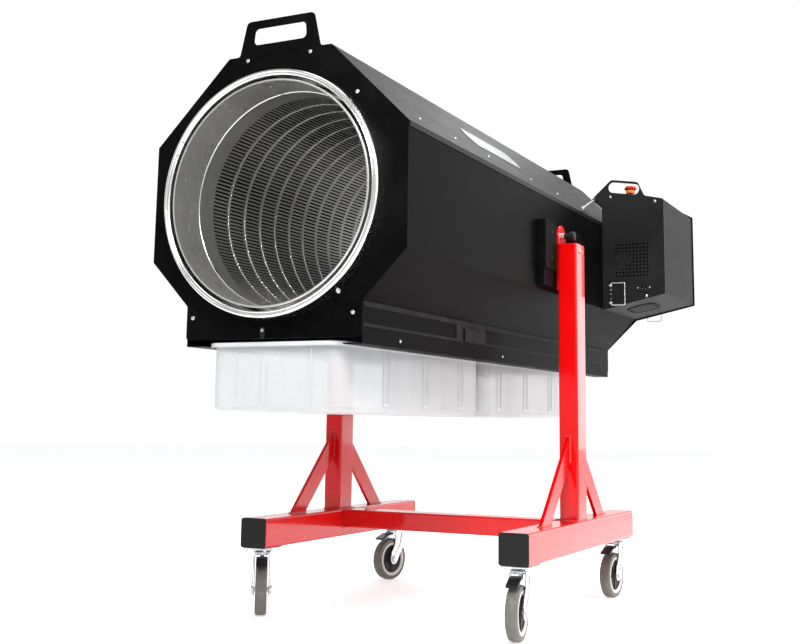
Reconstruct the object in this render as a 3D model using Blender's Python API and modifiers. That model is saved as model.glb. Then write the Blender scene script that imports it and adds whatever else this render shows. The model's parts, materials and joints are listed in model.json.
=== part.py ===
"""Rotary drum tumbler on a wheeled tilting stand.

A slotted drum turns on two roller shafts inside an eight-sided sheet housing.
The housing hangs between two posts on a pair of pivots, so the whole body tilts.
Two tubs slide on flanges under the housing and catch what falls through the drum.
Metres, +Z up. The mouth of the drum faces -Y, the drive box is on the +X side.
"""
import math

import bmesh
import bpy
from mathutils import Matrix, Vector

# ---------------------------------------------------------------- dimensions
GAP = 0.0003                 # clearance between pieces that touch

# castors
WHEEL_R = 0.0635
WHEEL_W = 0.0300
TRAIL = 0.0400               # wheel axle behind the stem
CROWN = 0.0398               # from the top of a wheel to the rail it carries
CHEEK = 0.0033               # side of the fork
FORK_ROOM = 0.0032           # wheel to cheek
FORK_W = WHEEL_W + 2 * (FORK_ROOM + CHEEK)
STEM_BACK = 0.0480           # stem to the end of the rail
CASTOR_REACH = 0.0396        # how far a turned castor stands out past the middle of its rail
# turn of each castor about its stem; 0 trails straight towards -Y
TURN = {"front_left": 33.0, "front_right": 8.0, "rear_left": -14.0, "rear_right": -4.0}

# drum, its hoops and its rollers
DRUM_R = 0.2480
DRUM_T = 0.0015
LIP_R = DRUM_R + 0.0040
HOOP_R = DRUM_R + 0.0140
HOOP_W = 0.0260
ROLLER_R = 0.0300
ROLLER_ANGLE = 35.0
SHAFT_R = 0.0100
ROLL_GAP = 0.0006            # roller or drive wheel to hoop
MOUTH_GAP = 0.0100           # lip of the drum to the hole in an end plate
DRUM_OUT = 0.0340            # drum past an end plate

# body
FRONT = -0.9360              # outside face of the front plate
REAR = 0.7975                # outside face of the rear plate
PLATE_T = 0.0040
SHEET = 0.0020
HOUSING_ROOM = 0.0770        # drum wall to the flats of the housing
HALF = DRUM_R + HOUSING_ROOM
CORNER = HALF * math.tan(math.radians(22.5))
PIVOT_Z = 1.0100
PIVOT_RISE = 0.0270          # pivots above the drum axis
AXIS_Z = PIVOT_Z - PIVOT_RISE
SKIRT_IN = 0.1016            # skirt inside the flats
SKIRT_RISE = 0.0860          # top of the skirt over the lowest point of the octagon
SKIRT_H = 0.0895             # skirt down to its flange
FLANGE_W = 0.0474
SKIRT_X = HALF - SKIRT_IN
SKIRT_Z = AXIS_Z - HALF + SKIRT_RISE
FLANGE_Z = SKIRT_Z - SKIRT_H
FLANGE_X = SKIRT_X - FLANGE_W
GRIP_H = 0.0800
GRIP_TOP = AXIS_Z + HALF + GRIP_H
MOUTH_R = LIP_R + MOUTH_GAP
RING_LAP = 0.0120            # bezel over the plate
RING_R = MOUTH_R + RING_LAP
RING_OUT = 0.0385
FRONT_HOOP = FRONT + 0.0860
REAR_HOOP = REAR - 0.0775

# tubs
TUB_SLIP = 0.0110            # tub wall to flange
TUB_LIFT = 0.0055            # top of a tub's rim over the flange
RIM_W = 0.0120
RIM_T = 0.0050
TUB_D = 0.1500
TUB_WALL = 0.0025
TUB_INSET = 0.0030           # first tub behind the front plate
TUB_SPLIT = 0.0310           # between the two tubs
TUB_BACK = 0.1695            # free flange behind the second tub
TUB_W = 2 * (FLANGE_X - TUB_SLIP)
TUB_L = (REAR - FRONT - TUB_INSET - TUB_SPLIT - TUB_BACK) / 2
TUB_TOP = FLANGE_Z + SHEET + TUB_LIFT
TUB_FRONT = (FRONT + TUB_INSET, FRONT + TUB_INSET + TUB_L + TUB_SPLIT)
PLATE_FOOT = TUB_TOP + 0.0065

# stand
TUBE = 0.0762                # square base rail, outside
TUBE_WALL = 0.0030
RAIL_END = 0.4400            # outside face of an end cap
CAP = 0.0040                 # end cap plate
BEAM_H = 0.0508
BEAM_D = 0.0762
POST_W = 0.0530              # across the machine
POST_D = 0.0762              # along the machine
POST_ROOM = 0.0110           # housing to post
RAIL_X = HALF + POST_ROOM + POST_W / 2
RAIL_TOP = 2 * WHEEL_R + CROWN + TUBE
STEM_Y = RAIL_END - STEM_BACK
POST_TOP = PIVOT_Z - 0.0250
BRACE_RISE = 0.2220
BRACE_W = 0.0500
BRACE_T = 0.0100
EAR_T = 0.0060
EAR_R = 0.0310
EAR_FOOT = PIVOT_Z - 0.1500
STUD_R = 0.0060
BRACKET_OUT = 0.0220         # pivot bracket, out from the housing
BRACKET_T = 0.0040
BRACKET_SWING = 0.0369       # bracket to post, for the tilt
BRACKET_CHEEK = 0.0900

# drive box
BOX_W = 0.1945
BOX_X = HALF + BOX_W
BOX_L = 0.3850
BOX_FRONT = REAR - BOX_L
DRIVE_X = HALF + 0.0370
DRIVE_Z = AXIS_Z + 0.0170
MOTOR_R = 0.0355
DRIVE_R = math.hypot(DRIVE_X, DRIVE_Z - AXIS_Z) - HOOP_R - ROLL_GAP
STOP_X, STOP_Y = HALF + 0.0705, BOX_FRONT + 0.0800
WING_LIP = 0.0020            # rear plate past the box

# The stand's own centre, seen from the middle of the machine's footprint.
STAND_AT = (-(BOX_X + WING_LIP - RAIL_X - CASTOR_REACH) / 2, -(FRONT + REAR) / 2, 0.0)

FLAT = (math.radians(90), 0.0, 0.0)                  # outline (x, z), thickness along y
SIDE = (math.radians(90), 0.0, math.radians(90))     # outline (y, z), thickness along x
PLAN = (0.0, 0.0, 0.0)                               # outline (x, y), thickness along z
ALONG_X = (0.0, math.radians(90), 0.0)
ALONG_Y = (math.radians(-90), 0.0, 0.0)              # local +z points to +y


# ------------------------------------------------------------------- helpers
def fresh_scene():
    for ob in list(bpy.data.objects):
        bpy.data.objects.remove(ob, do_unlink=True)
    cols = []
    for name in ("drum_tumbler", "cutters"):
        col = bpy.data.collections.new(name)
        bpy.context.scene.collection.children.link(col)
        cols.append(col)
    return cols


PARTS, CUTTERS = fresh_scene()


def material(name, rgb, rough, metal):
    mat = bpy.data.materials.new(name)
    mat.use_nodes = True
    bsdf = mat.node_tree.nodes["Principled BSDF"]
    bsdf.inputs["Base Color"].default_value = (*rgb, 1.0)
    bsdf.inputs["Roughness"].default_value = rough
    bsdf.inputs["Metallic"].default_value = metal
    return mat


RED = material("red_paint", (0.72, 0.01, 0.02), 0.28, 0.0)
BLACK = material("black_powder_coat", (0.035, 0.036, 0.04), 0.45, 0.0)
GREY = material("grey_cover", (0.16, 0.16, 0.17), 0.45, 0.2)
STEEL = material("polished_steel", (0.75, 0.75, 0.74), 0.16, 1.0)
DRUM = material("drum_steel", (0.55, 0.55, 0.54), 0.32, 1.0)
ZINC = material("zinc", (0.70, 0.72, 0.74), 0.30, 1.0)
GREYRUB = material("grey_rubber", (0.25, 0.24, 0.21), 0.7, 0.0)
RUBBER = material("rubber", (0.03, 0.03, 0.03), 0.8, 0.0)
PLASTIC = material("black_plastic", (0.03, 0.03, 0.032), 0.5, 0.0)
TUBS = material("translucent_tub", (0.86, 0.87, 0.87), 0.35, 0.0)
SIGNAL = material("signal_red", (0.65, 0.02, 0.02), 0.3, 0.0)
AMBER = material("amber_collar", (0.85, 0.35, 0.12), 0.4, 0.0)


def empty(name, at, parent=None, turn=0.0):
    ob = bpy.data.objects.new(name, None)
    ob.empty_display_size = 0.05
    PARTS.objects.link(ob)
    ob.parent = parent
    ob.location = at
    ob.rotation_euler = (0.0, 0.0, math.radians(turn))
    return ob


STAND = empty("stand_centre", STAND_AT)
BODY = empty("body_tilt", (0.0, 0.0, PIVOT_Z), STAND)


def place(name, data, at, rot, mat, parent, cutter=False):
    """Put a mesh where it belongs: at is measured from the stand's centre,
    or from a castor's own stem when the parent is one."""
    ob = bpy.data.objects.new(name, data)
    (CUTTERS if cutter else PARTS).objects.link(ob)
    ob.parent = parent
    base = Vector((0.0, 0.0, PIVOT_Z)) if parent == BODY else Vector()
    ob.location = Vector(at) - base
    ob.rotation_euler = rot
    if mat:
        data.materials.append(mat)
    if cutter:
        ob.hide_render = True
        ob.display_type = "WIRE"
    return ob


def soften(ob, width, segments=1):
    mod = ob.modifiers.new("edges", "BEVEL")
    mod.width = width
    mod.segments = segments
    mod.limit_method = "ANGLE"
    mod.angle_limit = math.radians(40)
    return ob


def block(name, xs, ys, zs, mat, parent=STAND, edge=0.0, cutter=False):
    size = (xs[1] - xs[0], ys[1] - ys[0], zs[1] - zs[0])
    bm = bmesh.new()
    bmesh.ops.create_cube(bm, size=1.0)
    bmesh.ops.scale(bm, vec=size, verts=bm.verts)
    me = bpy.data.meshes.new(name)
    bm.to_mesh(me)
    bm.free()
    ob = place(name, me, [sum(p) / 2 for p in (xs, ys, zs)], PLAN, mat, parent, cutter)
    return soften(ob, edge) if edge else ob


def rod(name, radius, length, at, axis, mat, parent=STAND, sides=24, cutter=False):
    bm = bmesh.new()
    bmesh.ops.create_cone(bm, cap_ends=True, segments=sides, radius1=radius,
                          radius2=radius, depth=length)
    me = bpy.data.meshes.new(name)
    bm.to_mesh(me)
    bm.free()
    return place(name, me, at, axis, mat, parent, cutter)


def rounded(points, radius, steps=3):
    """Outline with each corner rounded; radius may be one value or one per corner."""
    out = []
    n = len(points)
    for i, here in enumerate(points):
        r = radius[i] if isinstance(radius, (list, tuple)) else radius
        p, a, b = Vector(here), Vector(points[i - 1]), Vector(points[(i + 1) % n])
        if r <= 0:
            out.append(tuple(p))
            continue
        u, v = (a - p).normalized(), (b - p).normalized()
        half = u.angle(v) / 2
        back = r / math.tan(half)
        centre = p + (u + v).normalized() * (r / math.sin(half))
        start, end = p + u * back - centre, p + v * back - centre
        sweep = math.atan2(start.x * end.y - start.y * end.x, start.dot(end))
        for k in range(steps + 1):
            t = sweep * k / steps
            out.append((centre.x + start.x * math.cos(t) - start.y * math.sin(t),
                        centre.y + start.x * math.sin(t) + start.y * math.cos(t)))
    return out


def circle(radius, at=(0.0, 0.0), sides=48):
    return [(at[0] + radius * math.cos(2 * math.pi * k / sides),
             at[1] + radius * math.sin(2 * math.pi * k / sides)) for k in range(sides)]


def rect(w, h, at=(0.0, 0.0)):
    x, y = w / 2, h / 2
    return [(at[0] - x, at[1] - y), (at[0] + x, at[1] - y), (at[0] + x, at[1] + y), (at[0] - x, at[1] + y)]


def strip(points, thickness):
    """Closed outline of a bent sheet: the given line, and the same line moved inwards (to its left)."""
    pts = [Vector(p) for p in points]
    inner = []
    for i, p in enumerate(pts):
        dirs = []
        if i:
            dirs.append((p - pts[i - 1]).normalized())
        if i < len(pts) - 1:
            dirs.append((pts[i + 1] - p).normalized())
        normals = [Vector((-d.y, d.x)) for d in dirs]
        mean = sum(normals, Vector((0.0, 0.0))).normalized()
        inner.append(tuple(p + mean * thickness / mean.dot(normals[0])))
    return [tuple(p) for p in pts] + inner[::-1]


def slab(name, outline, thickness, at, rot, mat, parent=STAND, holes=(), cutter=False):
    """Flat outline with holes, extruded by its thickness about the given place."""
    cu = bpy.data.curves.new(name, "CURVE")
    cu.dimensions = "2D"
    cu.fill_mode = "BOTH"
    cu.extrude = thickness / 2
    for loop in (outline, *holes):
        sp = cu.splines.new("POLY")
        sp.points.add(len(loop) - 1)
        for point, (x, y) in zip(sp.points, loop):
            point.co = (x, y, 0.0, 1.0)
        sp.use_cyclic_u = True
    guide = bpy.data.objects.new(name + "_outline", cu)
    CUTTERS.objects.link(guide)
    graph = bpy.context.evaluated_depsgraph_get()
    me = bpy.data.meshes.new_from_object(guide.evaluated_get(graph))
    bpy.data.objects.remove(guide, do_unlink=True)
    me.materials.clear()
    bm = bmesh.new()
    bm.from_mesh(me)
    bmesh.ops.remove_doubles(bm, verts=bm.verts, dist=1e-6)
    bmesh.ops.recalc_face_normals(bm, faces=bm.faces)
    bm.to_mesh(me)
    bm.free()
    me.name = name
    return place(name, me, at, rot, mat, parent, cutter)


def turned(name, profile, at, axis, mat, parent=STAND, steps=32, ring=True, cutter=False):
    """Profile of (radius, height) pairs turned about local z. The outer side runs top to bottom."""
    me = bpy.data.meshes.new(name)
    edges = [(i, i + 1) for i in range(len(profile) - 1)]
    if ring:
        edges.append((len(profile) - 1, 0))
    me.from_pydata([(r, 0.0, z) for r, z in profile], edges, [])
    ob = place(name, me, at, axis, mat, parent, cutter)
    mod = ob.modifiers.new("turn", "SCREW")
    mod.axis = "Z"
    mod.angle = 2 * math.pi
    mod.steps = steps
    mod.render_steps = steps
    mod.use_merge_vertices = True
    mod.merge_threshold = 0.00001
    mod.use_smooth_shade = False
    return ob


def combine(ob, other, operation):
    mod = ob.modifiers.new(operation.lower(), "BOOLEAN")
    mod.operation = operation
    mod.object = other
    mod.solver = "EXACT"
    return ob


def cut(ob, other):
    return combine(ob, other, "DIFFERENCE")


def add(ob, other):
    return combine(ob, other, "UNION")


# --------------------------------------------------------------------- stand
def build_stand():
    ring = rounded(rect(TUBE, TUBE), 0.006, 2)
    bore = rect(TUBE - 2 * TUBE_WALL, TUBE - 2 * TUBE_WALL)
    rail_mid = RAIL_TOP - TUBE / 2
    for side, s in (("left", -1), ("right", 1)):
        x = s * RAIL_X
        slab(f"{side}_base_rail", ring, 2 * (RAIL_END - CAP - GAP), (x, 0.0, rail_mid), FLAT, RED, holes=[bore])
        for end, e in (("front", -1), ("rear", 1)):
            face = e * RAIL_END
            cap = slab(f"{side}_{end}_cap", rounded(rect(TUBE, TUBE), 0.006, 2), CAP,
                       (x, face - e * CAP / 2, rail_mid), FLAT, PLASTIC)
            plug = slab(f"{side}_{end}_plug", rect(TUBE - 2 * TUBE_WALL - 2 * GAP, TUBE - 2 * TUBE_WALL - 2 * GAP),
                        0.014, (x, face - e * (CAP + 0.006), rail_mid), FLAT, None, cutter=True)
            add(cap, plug)
        build_post(side, s, x)

    reach = RAIL_X - TUBE / 2 - GAP
    slab("cross_beam", rounded(rect(BEAM_D, BEAM_H), 0.005, 2), 2 * reach,
         (0.0, 0.0, RAIL_TOP - BEAM_H / 2), SIDE, RED,
         holes=[rect(BEAM_D - 2 * TUBE_WALL, BEAM_H - 2 * TUBE_WALL)])


def build_post(side, s, x):
    foot = RAIL_TOP + GAP
    height = POST_TOP - foot
    post = slab(f"{side}_post", rounded(rect(POST_W, POST_D), 0.006, 2), height,
                (x, 0.0, foot + height / 2), PLAN, RED)
    hollow = block(f"{side}_post_hollow", (x - POST_W / 2 + TUBE_WALL, x + POST_W / 2 - TUBE_WALL),
                   (-POST_D / 2 + TUBE_WALL, POST_D / 2 - TUBE_WALL), (foot - 0.01, POST_TOP - TUBE_WALL),
                   None, cutter=True)
    cut(post, hollow)
    # the ear that carries the pivot, on the inner face of the post
    inner = s * (RAIL_X - POST_W / 2 - GAP)
    top = [(EAR_R * math.cos(math.pi * k / 12), PIVOT_Z + EAR_R * math.sin(math.pi * k / 12)) for k in range(13)]
    outline = [(-EAR_R, EAR_FOOT), (EAR_R, EAR_FOOT)] + top
    eye = circle(STUD_R + 0.0004, (0.0, PIVOT_Z), 20)
    slab(f"{side}_ear", outline, EAR_T, (inner - s * EAR_T / 2, 0.0, 0.0), SIDE, RED, holes=[eye])
    # flat bar braces, one each side of the post
    low = POST_D / 2 + GAP
    thick = BRACE_W * math.sqrt(2)
    z0 = RAIL_TOP + GAP
    for end, e in (("front", -1), ("rear", 1)):
        outline = [(e * (low + BRACE_RISE), z0), (e * (low + BRACE_RISE - thick), z0),
                   (e * low, z0 + BRACE_RISE - thick), (e * low, z0 + BRACE_RISE)]
        slab(f"{side}_{end}_brace", outline, BRACE_T, (x, 0.0, 0.0), SIDE, RED)


def build_castors():
    under = RAIL_TOP - TUBE - GAP
    for name, turn in TURN.items():
        s = -1 if name.endswith("left") else 1
        e = -1 if name.startswith("front") else 1
        at = (s * RAIL_X, e * STEM_Y, 0.0)
        plate = block(f"{name}_castor_plate", (at[0] - 0.036, at[0] + 0.036), (at[1] - 0.044, at[1] + 0.044),
                      (under - 0.004, under), ZINC)
        head = rod(f"{name}_swivel_race", 0.026, 0.008, (at[0], at[1], under - 0.007), PLAN, None, sides=24, cutter=True)
        add(plate, head)
        stem = empty(f"{name}_swivel", at, STAND, turn)

        # fork: side view (y, z) over its full width, then the slot for the wheel
        top = under - 0.011 - GAP
        side = [(0.028, top), (-0.030, top), (-0.034, top - 0.010), (-0.036, WHEEL_R + 0.0465)]
        end = [(-TRAIL + 0.016 * math.cos(a), WHEEL_R + 0.016 * math.sin(a))
               for a in (math.radians(d) for d in (175, 200, 225, 250, 275, 300, 325, 350))]
        side += [(-0.052, WHEEL_R + 0.0215)] + end + [(-0.004, WHEEL_R + 0.0265), (0.020, WHEEL_R + 0.0585), (0.028, top - 0.012)]
        fork = slab(f"{name}_fork", side, FORK_W, (0.0, 0.0, 0.0), SIDE, ZINC, parent=stem)
        slot = block(f"{name}_fork_slot", (CHEEK - FORK_W / 2, FORK_W / 2 - CHEEK), (-0.2, 0.2), (0.0, 2 * WHEEL_R + 0.005),
                     None, parent=stem, cutter=True)
        cut(fork, slot)
        bore = rod(f"{name}_axle_bore", 0.0064, 0.1, (0.0, -TRAIL, WHEEL_R), ALONG_X, None, parent=stem, cutter=True)
        cut(fork, bore)

        # wheel with its axle: tyre, recessed web, and the bolt heads outside the fork
        h = WHEEL_W / 2
        leg = FORK_W / 2
        half = [(WHEEL_R, h), (WHEEL_R - 0.0175, h), (WHEEL_R - 0.0195, h - 0.005), (0.0060, h - 0.005), (0.0060, leg + GAP), (0.0100, leg + GAP),
                (0.0100, leg + 0.0055), (0.0, leg + 0.0055)]
        profile = half[::-1] + [(r, -z) for r, z in half]
        turned(f"{name}_wheel", profile, (0.0, -TRAIL, WHEEL_R), ALONG_X, GREYRUB, parent=stem, steps=24, ring=False)

        # brake pedal, hinged on the fork above the wheel
        hinge = top - 0.0122
        pedal = [(-0.0375, hinge + 0.003), (-0.0375, hinge - 0.003), (-0.060, hinge - 0.006), (-0.090, hinge - 0.019),
                 (-0.094, hinge - 0.014), (-0.062, hinge - 0.0005)]
        drop = Vector((-0.0375, hinge))
        slab(f"{name}_brake_pedal", [(y - drop.x, z - drop.y) for y, z in pedal], 0.030,
             (0.0, drop.x, drop.y), SIDE, PLASTIC, parent=stem)


# ------------------------------------------------------------------- housing
def plate_outline(wing):
    """Eight-sided end plate with its grip on top and its skirt below, as (x, z)."""
    top = AXIS_Z + HALF
    pts = [(-SKIRT_X, PLATE_FOOT), (SKIRT_X, PLATE_FOOT), (SKIRT_X, SKIRT_Z)]
    rad = [0.008, 0.008, 0.004]
    if wing:
        wing_top = AXIS_Z + 0.2170
        pts += [(HALF - 0.0005, AXIS_Z - 0.1405), (BOX_X + WING_LIP, AXIS_Z - 0.0955), (BOX_X + WING_LIP, wing_top - 0.0170),
                (BOX_X - 0.0275, wing_top), (HALF + AXIS_Z + CORNER - wing_top, wing_top)]
        rad += [0.0, 0.004, 0.006, 0.006, 0.003]
    else:
        pts += [(HALF, AXIS_Z - CORNER), (HALF, AXIS_Z + CORNER)]
        rad += [0.004, 0.004]
    pts += [(CORNER, top), (0.1060, top), (0.0880, GRIP_TOP), (-0.0880, GRIP_TOP), (-0.1060, top), (-CORNER, top),
            (-HALF, AXIS_Z + CORNER), (-HALF, AXIS_Z - CORNER), (-SKIRT_X, SKIRT_Z)]
    rad += [0.010, 0.008, 0.012, 0.012, 0.008, 0.010, 0.004, 0.004, 0.004]
    return rounded(pts, rad, 3)


def grip_slot():
    low, high = GRIP_TOP - 0.0570, GRIP_TOP - 0.0190
    return rounded([(-0.0700, low), (0.0700, low), (0.0665, high), (-0.0665, high)], 0.011, 3)


def build_housing():
    mouth = circle(MOUTH_R, (0.0, AXIS_Z), 48)
    slab("front_plate", plate_outline(False), PLATE_T, (0.0, FRONT + PLATE_T / 2, 0.0), FLAT, BLACK, BODY,
         holes=[mouth, grip_slot()])
    slab("rear_plate", plate_outline(True), PLATE_T, (0.0, REAR - PLATE_T / 2, 0.0), FLAT, BLACK, BODY,
         holes=[mouth, grip_slot()])

    y0, y1 = FRONT + PLATE_T + GAP, REAR - PLATE_T - GAP
    length, mid = y1 - y0, (y0 + y1) / 2
    edge = 0.0005
    cover = strip([(HALF - edge, AXIS_Z + CORNER + edge), (CORNER, AXIS_Z + HALF - edge),
                   (-CORNER, AXIS_Z + HALF - edge), (edge - HALF, AXIS_Z + CORNER + edge)], SHEET)
    slab("top_cover", cover, length, (0.0, mid, 0.0), FLAT, GREY, BODY)
    for side, s in (("left", -1), ("right", 1)):
        line = [(FLANGE_X, FLANGE_Z), (SKIRT_X - edge, FLANGE_Z), (SKIRT_X - edge, SKIRT_Z),
                (HALF - edge, AXIS_Z - CORNER), (HALF - edge, AXIS_Z + CORNER - 0.004)]
        outline = [(s * x, z) for x, z in strip(line, SHEET)]
        shell = slab(f"{side}_side_shell", outline, length, (0.0, mid, 0.0), FLAT, BLACK, BODY)
        if s > 0:
            window = block("drive_window", (HALF - 0.025, HALF + 0.015), (REAR_HOOP - 0.028, REAR_HOOP + 0.028),
                           (DRIVE_Z - DRIVE_R - 0.0020, DRIVE_Z + DRIVE_R + 0.0002), None, BODY, cutter=True)
            cut(shell, window)

    # rolled bezels round the two mouths; heights count outwards from the plate
    neck, bore = MOUTH_R - 0.0014, MOUTH_R - 0.0040
    bezel = [(RING_R - 0.0025, RING_OUT - 0.0030), (RING_R, RING_OUT - 0.0095), (RING_R, GAP), (neck, GAP), (neck, -0.0200),
             (bore, -0.0200), (bore, RING_OUT - 0.0075), (bore + 0.0030, RING_OUT - 0.0020), (bore + 0.0080, RING_OUT)]
    turned("mouth_bezel", bezel, (0.0, FRONT, AXIS_Z), FLAT, STEEL, BODY, steps=44)
    turned("rear_bezel", bezel, (0.0, REAR, AXIS_Z), ALONG_Y, STEEL, BODY, steps=44)

    # blank plate on the +X slope of the cover
    slope = math.radians(45)
    centre = Vector(((HALF + CORNER) / 2, 0.0, AXIS_Z + (HALF + CORNER) / 2))
    centre += Vector((math.cos(slope), 0.0, math.sin(slope))) * 0.0006
    blank = rounded([(-0.170, -0.002), (-0.148, -0.038), (0.150, -0.038), (0.172, -0.002), (0.150, 0.034), (-0.148, 0.034)],
                    0.004, 2)
    ob = slab("name_plate", blank, 0.0012, (centre.x, FRONT + 0.6740, centre.z), PLAN, STEEL, BODY)
    basis = Matrix(((0.0, -math.cos(slope), math.cos(slope)), (1.0, 0.0, 0.0), (0.0, math.sin(slope), math.sin(slope))))
    ob.rotation_euler = basis.to_euler()

    # turning catch at the foot of the front plate
    catch = rounded([(-0.006, -0.0175), (0.006, -0.0175), (0.006, 0.007), (-0.006, 0.007)], 0.005, 3)
    slab("tub_catch", catch, 0.006, (-0.0180, FRONT - GAP - 0.003, PLATE_FOOT + 0.0175), FLAT, PLASTIC, BODY)


def build_pivots():
    for side, s in (("left", -1), ("right", 1)):
        x0, base = HALF - 0.0002, HALF + BRACKET_T
        near = POST_D / 2 + BRACKET_SWING
        far = near + BRACKET_CHEEK
        out = HALF + BRACKET_OUT
        upper = [(x0, -far), (out, -far), (out, -near), (base, -near), (base, near), (out, near), (out, far), (x0, far)]
        near, far, out = near + 0.0100, far - 0.0020, out - 0.0060
        lower = [(x0, -far), (out, -far), (out, -near), (base, -near), (base, near), (out, near), (out, far), (x0, far)]
        bracket = slab(f"{side}_pivot_bracket", [(s * x, y) for x, y in upper], 0.132, (0.0, 0.0, PIVOT_Z - 0.041), PLAN, BLACK, BODY)
        add(bracket, slab(f"{side}_bracket_foot", [(s * x, y) for x, y in lower], 0.046, (0.0, 0.0, PIVOT_Z - 0.126), PLAN, None,
                          BODY, cutter=True))
        # pivot stud with its nut, passing through the post's ear
        ear_out = RAIL_X - POST_W / 2 - GAP
        stud = (HALF + 0.0020, ear_out + 0.0383)
        add(bracket, rod(f"{side}_pivot_stud", STUD_R, stud[1] - stud[0], (s * sum(stud) / 2, 0.0, PIVOT_Z), ALONG_X, None,
                         BODY, cutter=True))
        add(bracket, rod(f"{side}_pivot_nut", 0.0100, 0.0080, (s * (ear_out + GAP + 0.0040), 0.0, PIVOT_Z), ALONG_X, None,
                         BODY, sides=6, cutter=True))
        knob = [(0.0115, 0.0290), (0.0135, 0.0265), (0.0135, 0.0160), (0.0080, 0.0150), (0.0080, 0.0), (STUD_R + 0.0004, 0.0),
                (STUD_R + 0.0004, 0.0290)]
        flip = ALONG_X if s > 0 else (0.0, math.radians(-90), 0.0)
        turned(f"{side}_clamp_knob", knob, (s * (ear_out + 0.0086), 0.0, PIVOT_Z), flip, PLASTIC, BODY, steps=20)


# ---------------------------------------------------------------------- drum
def build_drum():
    front, back = FRONT - DRUM_OUT, REAR + DRUM_OUT
    length = back - front
    r, t = DRUM_R, DRUM_T
    lip = [(LIP_R, length), (LIP_R, length - 0.010), (r, length - 0.016), (r, 0.016), (LIP_R, 0.010), (LIP_R, 0.0),
           (r - t, 0.0), (r - t, length)]
    turned("drum_shell", lip, (0.0, front, AXIS_Z), ALONG_Y, DRUM, BODY, steps=48)
    hoop = [(HOOP_R, HOOP_W / 2), (HOOP_R, -HOOP_W / 2), (r + GAP, -HOOP_W / 2), (r + GAP, HOOP_W / 2)]
    for end, y in (("front", FRONT_HOOP), ("rear", REAR_HOOP)):
        turned(f"drum_{end}_hoop", hoop, (0.0, y, AXIS_Z), ALONG_Y, STEEL, BODY, steps=48)

    reach = HOOP_R + ROLLER_R + ROLL_GAP
    angle = math.radians(ROLLER_ANGLE)
    y0, y1 = FRONT + PLATE_T + 0.002, REAR - PLATE_T - 0.002
    w = HOOP_W / 2 + 0.004
    rl, sh = ROLLER_R, SHAFT_R
    for side, s in (("left", -1), ("right", 1)):
        profile = [(0.0, y1), (sh, y1), (sh, REAR_HOOP + w), (rl, REAR_HOOP + w), (rl, REAR_HOOP - w), (sh, REAR_HOOP - w),
                   (sh, FRONT_HOOP + w), (rl, FRONT_HOOP + w), (rl, FRONT_HOOP - w), (sh, FRONT_HOOP - w), (sh, y0), (0.0, y0)]
        turned(f"{side}_roller_shaft", profile, (s * reach * math.sin(angle), 0.0, AXIS_Z - reach * math.cos(angle)),
               ALONG_Y, RUBBER, BODY, steps=20, ring=False)


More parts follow.
